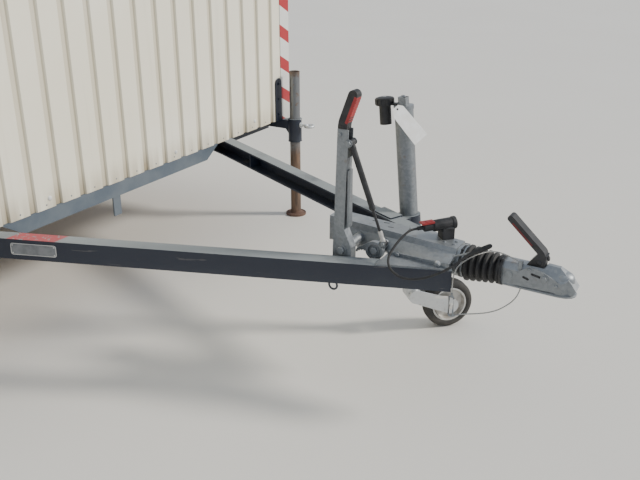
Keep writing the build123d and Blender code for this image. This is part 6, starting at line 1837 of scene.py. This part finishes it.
@dataclass(frozen=True)
class Prop(Assembly):
    """Small pieces of a corner prop.

    Attributes:
        end, side: End and side of the wagon that it stands at.
        ahead, across: Distance of a prop's axis outside the body's ends, and from the middle.
        weld, foot_rim: The foot's weld bead and rolled rim, in rows of height and radius.
        top, burr: Height of the tube's top, and rows of height from there and radius.
        collar, collar_edges, edge: The guiding collar's radius, and its edges' heights and width.
        bolt_up: Height of the clamping eye bolt.
        eye_out, eye, eye_wire: Distance of its eye from the axis, and the radii of eye and wire.
    """

    end: End
    side: Side
    ahead: float = 0.060
    across: float = 1.040
    weld: Profile = ((0.0115, 0.0235), (0.0118, 0.0275), (0.0150, 0.0268), (0.0172, 0.0240))
    foot_rim: Profile = (
        (0.0040, 0.0440), (0.0050, 0.0476), (0.0085, 0.0479), (0.0100, 0.0462), (0.0075, 0.0440),
    )
    top: float = 0.684
    burr: Profile = ((-0.004, 0.0238), (-0.001, 0.0248), (0.001, 0.0240), (0.0, 0.0212))
    collar: float = 0.031
    collar_edges: Pair = (0.3622, 0.4660)
    edge: float = 0.003
    bolt_up: float = 0.441
    washer: Profile = ((0.0, 0.0120), (0.0022, 0.0120))
    nut: Profile = ((0.0015, 0.0096), (0.0095, 0.0096), (0.0105, 0.0080))
    neck: Profile = ((0.0, 0.0060), (0.0035, 0.0078), (0.0080, 0.0070))
    eye_out: float = 0.077
    eye: float = 0.0180
    eye_wire: float = 0.0068

    @property
    def name(self) -> str:
        """Its end and side, as in the names of pieces."""
        return f"{self.end.label}_{self.side.label}"

    @property
    def place(self) -> Vector:
        """Point on the ground under its axis."""
        run = self.ahead if self.end is End.FRONT else -BODY_LENGTH - self.ahead
        return at(run, self.side.value * self.across, 0.0)

    def build(self) -> None:
        """Model the pieces."""
        self.foot()
        self.clamp()

    def foot(self) -> None:
        """Weld bead and rolled rim at the foot, and a burr on the tube's open top."""
        shape = self.piece(f"prop_foot_{self.name}")
        shape.lathe(self.place, UP, self.weld, 40, True)
        shape.lathe(self.place, UP, self.foot_rim, 56, True)
        shape.lathe(self.place, UP, [(self.top + rise, radius) for rise, radius in self.burr], 40, True)
        shape.build(Slot.PROP_STEEL, body=Carrier(f"prop_{self.name}"))

    def clamp(self) -> None:
        """Nut, washer and weld ring of the clamping eye bolt, and the collar's rolled edges."""
        shape = self.piece(f"prop_clamp_{self.name}")
        out = self.end.out
        level = self.place + UP * self.bolt_up
        root = level + out * (self.collar - 0.0008)
        shape.lathe(root, out, self.washer, 28)
        shape.lathe(root, out, self.nut, 6)
        shape.lathe(root + out * 0.0230, out, self.neck, 20)
        eye = level + out * self.eye_out
        turns = [2 * pi * step / 32 for step in range(33)]
        circle = [eye + Vector((cos(turn), sin(turn), 0.0)) * self.eye for turn in turns]
        shape.tube(circle, self.eye_wire, 14)
        shape.slot = 1
        inner, outer = self.collar - 0.0004, self.collar + 0.0014
        for low in self.collar_edges:
            high = low + self.edge
            rows = ((low, inner), (low, outer), (high, outer), (high, inner))
            shape.lathe(self.place, UP, rows, 48, True)
        shape.build(Slot.BRIGHT_ZINC, Slot.DRAWBAR, bevel=0.0004)


@dataclass(frozen=True)
class Cabin(Assembly):
    """Screws, caps and edges on the cabin's sheets.

    Attributes:
        pitch, front_count, side_count: Spacing of the grooves, and their number beside a middle.
        front, side, middle: Faces of the front and side sheets, and middle of the body's length.
        screws, screw_height: Heights and radii of the rows of screws, and height of a head.
        caps: Places of the white caps, across and above the ground.
        arch, arch_path, arch_wire: Middle and half length of the wheel arch, and its rolled edge.
        strap, strap_ups: Place of the tie straps' bolts along and across, and their heights.
    """

    pitch: float = 0.105
    front: float = 1.584
    side: float = 1.087
    middle: float = -0.663
    screws: tuple[Pair, ...] = ((0.474, 0.0030), (2.515, 0.0035))
    screw_height: float = 0.0013
    front_count: int = 9
    side_count: int = 20
    caps: tuple[Pair, ...] = ((-0.352, 0.493), (0.273, 0.490), (-0.772, 0.500), (0.807, 0.498))
    cap: Pair = (0.0085, 0.0045)
    arch: Pair = (-0.813, 0.43)
    arch_path: tuple[Pair, ...] = (
        (-0.398, 0.470), (-0.398, 0.600), (-0.300, 0.694), (0.300, 0.694), (0.398, 0.600), (0.398, 0.470),
    )
    arch_wire: float = 0.0035
    strap: Pair = (1.5898, 0.996)
    strap_ups: Triple = (0.49, 0.56, 0.63)

    def build(self) -> None:
        """Model the pieces."""
        self.front_screws()
        self.front_caps()
        for side in reversed(Side):
            self.side_screws(side)
            self.arch_edge(side)
        self.straps()

    def front_screws(self) -> None:
        """Screws between the grooves, along the foot and the top of the front sheet."""
        shape = self.piece("front_screws")
        for index in range(-self.front_count, self.front_count):
            for up, radius in self.screws:
                place = Vector((self.front, (index + 0.5) * self.pitch, up))
                shape.dome(place, AHEAD, radius, self.screw_height)
        shape.build(Slot.GALVANISED)

    def front_caps(self) -> None:
        """White caps low on the front sheet."""
        shape = self.piece("front_caps")
        for across, up in self.caps:
            shape.dome(Vector((self.front, across, up)), AHEAD, *self.cap)
        shape.build(Slot.WHITE_PAINT)

    def side_screws(self, side: Side) -> None:
        """Screws of a side sheet, left out over the wheel arch.

        Args:
            side: Side of the wagon.
        """
        shape = self.piece(f"side_screws_{side.label}")
        for index in range(-self.side_count, self.side_count):
            run = self.middle + (index + 0.5) * self.pitch
            for up, radius in self.screws:
                if up > 1.0 or abs(run - self.arch[0]) > self.arch[1]:
                    shape.dome(Vector((run, side.value * self.side, up)), side.out, radius, self.screw_height)
        shape.build(Slot.GALVANISED)

    def arch_edge(self, side: Side) -> None:
        """Rolled metal edge round a wheel arch's cut.

        Args:
            side: Side of the wagon.
        """
        shape = self.piece(f"arch_edge_{side.label}")
        level = side.value * (self.side + 0.001)
        path = [Vector((self.arch[0] + run, level, up)) for run, up in self.arch_path]
        shape.tube(path, self.arch_wire, 12)
        shape.build(Slot.WINDOW_FRAME)

    def straps(self) -> None:
        """Bolts of the tie straps beside the front posts."""
        shape = self.piece("strap_bolts")
        for side in Side:
            for up in self.strap_ups:
                shape.bolt(Vector((self.strap[0], side.value * self.strap[1], up)), AHEAD, 0.0055)
        shape.build(Slot.DRAWBAR, bevel=0.0003)


@dataclass(frozen=True)
class Window(Assembly):
    """Seal, sliding sashes and screws of a side window.

    Attributes:
        end, side: End and side of the wagon that it lies at.
        front, rear, up: Middles of the windows along the wagon, and their height.
        half, frame: Half width and height of the glass, and width of the frame.
        face, glass: Distances of the frame's face and the pane's middle from the wagon's middle.
        seal, seal_depth: Half width and half depth of the seal.
        bar, grip: Half width and depth of the sashes' middle bar, and its finger grip.
    """

    end: End
    side: Side
    front: float = 0.407
    rear: float = -1.733
    up: float = 1.770
    half: Pair = (0.405, 0.305)
    frame: float = 0.045
    face: float = 1.095
    glass: float = 1.067
    seal: float = 0.006
    seal_depth: float = 0.0045
    bar: Pair = (0.015, 0.0055)
    grip: Triple = (0.003, 0.004, 0.045)
    screw: Pair = (0.0042, 0.0016)

    @property
    def name(self) -> str:
        """Its side and end, as in the names of pieces."""
        return f"{self.side.label}_{self.end.label}"

    @property
    def middle(self) -> Vector:
        """Its middle, level with the middle of the wagon."""
        return Vector((self.front if self.end is End.FRONT else self.rear, 0.0, self.up))

    def build(self) -> None:
        """Model the pieces."""
        self.seal_round()
        self.sash()

    def seal_round(self) -> None:
        """Rubber seal round the glass."""
        shape = self.piece(f"window_seal_{self.name}")
        wide, high = self.half
        pane = self.middle + self.side.out * (self.glass + 0.0075)
        lying = (wide, self.seal_depth, self.seal)
        standing = (self.seal, self.seal_depth, high)
        shape.block(pane + UP * (high - self.seal), lying)
        shape.block(pane - UP * (high - self.seal), lying)
        shape.block(pane + AHEAD * (wide - self.seal), standing)
        shape.block(pane - AHEAD * (wide - self.seal), standing)
        shape.build(Slot.RUBBER, bevel=0.0015)

    def sash(self) -> None:
        """Middle bar with its finger grip, sill rail and the frame's screws."""
        shape = self.piece(f"window_sash_{self.name}")
        middle, out = self.middle, self.side.out
        shape.block(middle + out * (self.glass + 0.0085), (*self.bar, self.half[1] - 0.012))
        shape.block(middle + out * (self.glass + 0.0155) + AHEAD * 0.006, self.grip)
        sill = middle + out * (self.face - 0.009) - UP * (self.half[1] + 0.001)
        shape.block(sill, (self.half[0], 0.009, 0.003))
        wide, high = self.half[0] + self.frame / 2, self.half[1] + self.frame / 2
        face = middle + out * self.face
        for sign in (-1.0, 1.0):
            for share in (-0.94, -0.35, 0.35, 0.94):
                shape.dome(face + Vector((wide * share, 0.0, high * sign)), out, *self.screw)
            for share in (-0.5, 0.5):
                shape.dome(face + Vector((wide * sign, 0.0, high * share)), out, *self.screw)
        shape.build(Slot.WINDOW_FRAME, bevel=0.0008)


@dataclass(frozen=True)
class Door(Assembly):
    """Small pieces of the rear door.

    Attributes:
        face: Outer face of the leaf.
        plate, plate_up, rivet_shares: The kick plate, its height, and its rivets' places in shares.
        hinge, hinge_ups: Place of the hinge pins along and across, and the hinges' heights.
        knuckle: Heights of the knuckles on the frame and on the leaf, from a hinge's middle.
        leaf: Distance of the screws in the hinge leaves from the pin.
        lock, handle_screws: Place of the lock across and its height, and the handle screws' heights.
        louvre, louvre_up: The ventilation louvre, and its height.
        slat, slats, slat_from, slat_pitch: A slat of it, their number, lowest height and spacing.
    """

    face: float = -2.916
    plate: Triple = (0.0008, 0.36, 0.085)
    plate_up: float = 0.640
    rivet_shares: tuple[float, ...] = (-0.96, -0.48, 0.0, 0.48, 0.96)
    rivet: Pair = (0.0045, 0.0018)
    hinge: Pair = (-2.928, 0.413)
    hinge_ups: Triple = (0.7452, 1.490, 2.2348)
    knuckle: Pair = (-0.0225, 0.0228)
    leaf: float = 0.015
    screw: Pair = (0.0042, 0.0018)
    pin_cap: Pair = (0.0088, 0.0035)
    lock: Pair = (-0.350, 1.415)
    cylinder: Profile = ((0.0, 0.0105), (0.0025, 0.0100), (0.0030, 0.0085), (0.0055, 0.0080))
    handle_screws: Pair = (1.395, 1.565)
    louvre: Triple = (0.0014, 0.135, 0.050)
    louvre_up: float = 2.300
    slat: Triple = (0.0055, 0.120, 0.0007)
    slats: int = 6
    slat_from: float = 2.262
    slat_pitch: float = 0.0145

    def build(self) -> None:
        """Model the pieces."""
        self.kick_plate()
        self.hinge_screws("frame", Carrier.WAGON, self.leaf, self.knuckle[0])
        self.hinge_screws("leaf", Carrier.DOOR, -self.leaf, self.knuckle[1])
        self.lock_cylinder()
        self.door_louvre()

    def kick_plate(self) -> None:
        """Riveted plate along the leaf's foot."""
        shape = self.piece("kick_plate")
        middle = Vector((self.face - 0.0007, 0.0, self.plate_up))
        shape.block(middle, self.plate)
        for share in self.rivet_shares:
            for sign in (-0.86, 0.86):
                place = middle + Vector((-self.plate[0], self.plate[1] * share, self.plate[2] * sign))
                shape.dome(place, -AHEAD, *self.rivet)
        shape.build(Slot.WINDOW_FRAME, bevel=0.0004, body=Carrier.DOOR)

    def hinge_screws(self, name: str, body: Carrier, offset: float, lift: float) -> None:
        """Screws in one leaf of each hinge, and a cap on its pin.

        Args:
            name: What the hinge leaves are fixed to.
            body: Body that carries them.
            offset: Distance of the screws from the pin, to the left.
            lift: Height of the screws' middle above the hinge's middle.
        """
        shape = self.piece(f"hinge_screws_{name}")
        end = UP if lift > 0 else -UP
        for up in self.hinge_ups:
            for rise in (-0.013, 0.013):
                place = Vector((self.face - 0.004, self.hinge[1] + offset, up + lift + rise))
                shape.dome(place, -AHEAD, *self.screw)
            shape.dome(Vector((*self.hinge, up)) + end * abs(lift) * 2, end, *self.pin_cap)
        shape.build(Slot.GALVANISED, body=body)

    def lock_cylinder(self) -> None:
        """Lock cylinder with its key slot, and the screws of the handle's plate."""
        shape = self.piece("lock_cylinder")
        place = Vector((self.face - 0.008, *self.lock))
        shape.lathe(place, -AHEAD, self.cylinder, 28)
        shape.block(place - AHEAD * 0.0056, (0.0006, 0.0010, 0.0045))
        for up in self.handle_screws:
            shape.dome(Vector((self.face - 0.008, self.lock[0], up)), -AHEAD, 0.0040, 0.0016)
        shape.build(Slot.GALVANISED, bevel=0.0003, body=Carrier.DOOR)

    def door_louvre(self) -> None:
        """Ventilation louvre with slats that shed the rain."""
        shape = self.piece("door_louvre")
        shape.block(Vector((self.face - 0.0012, 0.0, self.louvre_up)), self.louvre)
        tilt = Vector((-0.5, 0.0, -0.86))
        for slat in range(self.slats):
            place = Vector((self.face - 0.0045, 0.0, self.slat_from + self.slat_pitch * slat))
            shape.block(place, self.slat, tilt, UP.cross(tilt).cross(tilt) * -1.0)
        shape.build(Slot.WINDOW_FRAME, bevel=0.0005, body=Carrier.DOOR)


@dataclass(frozen=True)
class Rear(Assembly):
    """Small pieces of the rear lamps and the step.

    Attributes:
        lamp, lamp_half: Place of a lamp across and its height, and its half width and height.
        lamp_face, surround: Outer face of the lamps, and half depth and thickness of their surrounds.
        bars, bar: Places of a lamp's dividing bars from its middle, and half their depth and width.
        lamp_screw: Distance of a lamp's screws from its middle.
        step, step_half: Rear edge, front edge and top of the tread, and its half width.
        rod, rods: Radius and number of its cross rods.
        tooth, teeth, tooth_pitch: A tooth of its nosing, their number and spacing.
        hanger, hanger_ups: Place of the step's bolts along and across, and their heights.
    """

    lamp: Pair = (0.870, 0.415)
    lamp_half: Pair = (0.110, 0.040)
    lamp_face: float = -2.955
    surround: Pair = (0.0100, 0.003)
    bars: Pair = (0.041, -0.035)
    bar: Pair = (0.0030, 0.0022)
    lamp_screw: float = 0.090
    step: Triple = (-3.183, -2.943, 0.270)
    step_half: float = 0.350
    rod: float = 0.0030
    rods: int = 13
    teeth: int = 34
    tooth: Triple = (0.0028, 0.0055, 0.0024)
    tooth_pitch: float = 0.020
    hanger: Pair = (-2.835, 0.3560)
    hanger_ups: Pair = (0.438, 0.398)

    def build(self) -> None:
        """Model the pieces."""
        self.lamps()
        self.tread()

    def lamps(self) -> None:
        """Black surrounds, dividing bars and screws of the lamps."""
        shape = self.piece("lamp_surrounds")
        wide, high = self.lamp_half
        deep, thick = self.surround
        for side in Side:
            middle = Vector((self.lamp_face + 0.0345, side.value * self.lamp[0], self.lamp[1]))
            for sign in (-1.0, 1.0):
                shape.block(middle + UP * sign * (high + 0.001), (deep, wide + thick, thick))
                shape.block(middle + Vector((0.0, sign * (wide + 0.001), 0.0)), (deep, thick, high + 0.002))
            for offset in self.bars:
                bar = Vector((self.lamp_face + 0.002, side.value * (self.lamp[0] + offset), self.lamp[1]))
                shape.block(bar, (*self.bar, high - 0.002))
            for offset in (-self.lamp_screw, self.lamp_screw):
                place = Vector((self.lamp_face, side.value * self.lamp[0] + offset, self.lamp[1]))
                shape.dome(place, -AHEAD, 0.0042, 0.0015)
        shape.build(Slot.BLACK_PLASTIC, bevel=0.0008)

    def tread(self) -> None:
        """Cross rods, toothed nosing and bolts of the step."""
        shape = self.piece("step_rods")
        rear, front, top = self.step
        first = self.tooth_pitch - self.step_half
        rod_pitch = -2 * first / (self.rods - 1)
        for rod in range(self.rods):
            across = first + rod * rod_pitch
            ends = [Vector((run, across, top - 2 * self.rod)) for run in (rear + self.rod, front - self.rod)]
            shape.tube(ends, self.rod, 10)
        for tooth in range(self.teeth):
            place = Vector((rear + self.rod, first + tooth * self.tooth_pitch, top + 0.0018))
            shape.block(place, self.tooth)
        for side in Side:
            for up in self.hanger_ups:
                shape.bolt(Vector((self.hanger[0], side.value * self.hanger[1], up)), side.out, 0.0075)
        shape.build(Slot.GALVANISED, bevel=0.0004)


@dataclass(frozen=True)
class RoadWheel(Assembly):
    """Tread, bolts, cap and valve of a road wheel.

    Attributes:
        side: Side of the wagon that it runs on.
        axle, across: Place of the axle along and its height, and a wheel's distance from the middle.
        wall: The tyre's wall and shoulder, in rows of distance from its middle and radius.
        crown, camber: Radius of the tread at its middle, and its fall for each squared metre.
        grooves, groove: Places of the tread's grooves, and rows of place across one and depth.
        lug, lugs, lug_ring, lug_out: A block of the tread's shoulders, their number and place.
        bolts, bolt_ring, bolt_out: Number of wheel bolts, their ring's radius and place.
        bolt_turn: Turn of the first bolt in radians.
        cap, cap_out: The hub cap, and the place of the hub's end.
        valve, stem: Distance of the valve's root from the wheel's middle and axle, and its outline.
    """

    side: Side
    axle: Pair = (-0.813, 0.314)
    across: float = 0.955
    wall: Profile = (
        (0.0690, 0.1784), (0.0690, 0.1920), (0.0762, 0.1945), (0.0770, 0.2000), (0.0835, 0.2090),
        (0.0905, 0.2240), (0.0938, 0.2380), (0.0950, 0.2440), (0.0932, 0.2600), (0.0890, 0.2740),
        (0.0905, 0.2765), (0.0885, 0.2800), (0.0840, 0.2860), (0.0745, 0.2975),
    )
    crown: float = 0.3137
    camber: float = 2.6
    grooves: tuple[float, ...] = (0.050, 0.017, -0.017, -0.050)
    groove: Profile = ((0.0045, 0.0), (0.0032, -0.0072), (-0.0032, -0.0072), (-0.0045, 0.0))
    lugs: int = 60
    lug: Triple = (0.0105, 0.0105, 0.0042)
    lug_ring: float = 0.2985
    lug_out: float = 0.0735
    bolts: int = 5
    bolt_ring: float = 0.070
    bolt_out: float = 0.0288
    bolt_turn: float = 0.3
    cap_out: float = 0.058
    cap: Profile = ((0.0, 0.0352), (0.0012, 0.0358), (0.0030, 0.0345), (0.0070, 0.0300), (0.0090, 0.0180))
    valve: Pair = (0.026, 0.1460)
    stem: Profile = (
        (0.0, 0.0070), (0.008, 0.0062), (0.016, 0.0042), (0.026, 0.0040), (0.027, 0.0048), (0.036, 0.0046),
        (0.038, 0.0030),
    )

    @property
    def middle(self) -> Vector:
        """Its middle."""
        return Vector((self.axle[0], self.side.value * self.across, self.axle[1]))

    @property
    def body(self) -> Carrier:
        """The body that it turns with."""
        return Carrier(f"wheel_{self.side.label}")

    def spoke(self, share: float) -> Vector:
        """Direction out of the axle at a share of a full turn."""
        return Vector((cos(2 * pi * share), 0.0, sin(2 * pi * share)))

    def build(self) -> None:
        """Model the pieces."""
        self.tyre()
        self.wheel_bolts()
        self.wheel_valve()

    def tyre(self) -> None:
        """Tyre with rim guards, four grooves round it and blocks on its shoulders."""
        middle, out = self.middle, self.side.out
        shape = self.piece(f"road_tyre_{self.side.label}")
        tread = [
            (groove + offset, self.crown - self.camber * groove * groove + depth)
            for groove in self.grooves
            for offset, depth in self.groove
        ]
        profile = [*self.wall, *tread, *[(-along, radius) for along, radius in reversed(self.wall)]]
        shape.lathe(middle, out, profile, 120, True)
        for lug in range(self.lugs):
            spoke = self.spoke(lug / self.lugs)
            for sign in (-1.0, 1.0):
                away = out * sign
                place = middle + spoke * self.lug_ring + away * self.lug_out
                shape.block(place, self.lug, out.cross(spoke), spoke + away * 0.55)
        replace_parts(shape.build(Slot.TYRE, body=self.body), f"tyre_{self.side.label}")

    def wheel_bolts(self) -> None:
        """Wheel bolts and hub cap."""
        middle, out = self.middle, self.side.out
        shape = self.piece(f"wheel_bolts_{self.side.label}")
        for bolt in range(self.bolts):
            spoke = self.spoke(bolt / self.bolts + self.bolt_turn / (2 * pi))
            shape.bolt(middle + out * self.bolt_out + spoke * self.bolt_ring, out, 0.0095)
        shape.lathe(middle + out * (self.cap_out - 0.001), out, self.cap, 48)
        shape.build(Slot.GALVANISED, bevel=0.0005, body=self.body)

    def wheel_valve(self) -> None:
        """Valve in the disc."""
        out = self.side.out
        shape = self.piece(f"wheel_valve_{self.side.label}")
        shape.lathe(self.middle + out * self.valve[0] - UP * self.valve[1], out, self.stem, 18)
        shape.build(Slot.BLACK_PLASTIC, bevel=0.0003, body=self.body)


def corners() -> list[list[float]]:
    """The lowest and highest corner of all that is shown, as plain lists."""
    return [[float(number) for number in corner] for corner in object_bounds()]


def main() -> None:
    """Build the scene."""
    logging.basicConfig(level=logging.INFO, format="%(name)s: %(message)s")
    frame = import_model()
    View().build()
    palette = Palette()
    Cables(palette).build()
    Studio().build()
    palette.dress(frame)
    assemblies = (
        Coupling(palette), Handbrake(palette), Drawbar(palette), JockeyWheel(palette),
        *[Prop(palette, end, side) for end in End for side in reversed(Side)],
        Cabin(palette),
        *[Window(palette, end, side) for side in reversed(Side) for end in End],
        Door(palette), Rear(palette),
        *[RoadWheel(palette, side) for side in reversed(Side)],
    )
    for assembly in assemblies:
        assembly.build()
        LOG.info("%s is complete", type(assembly).__name__)


if __name__ == "__main__":
    main()
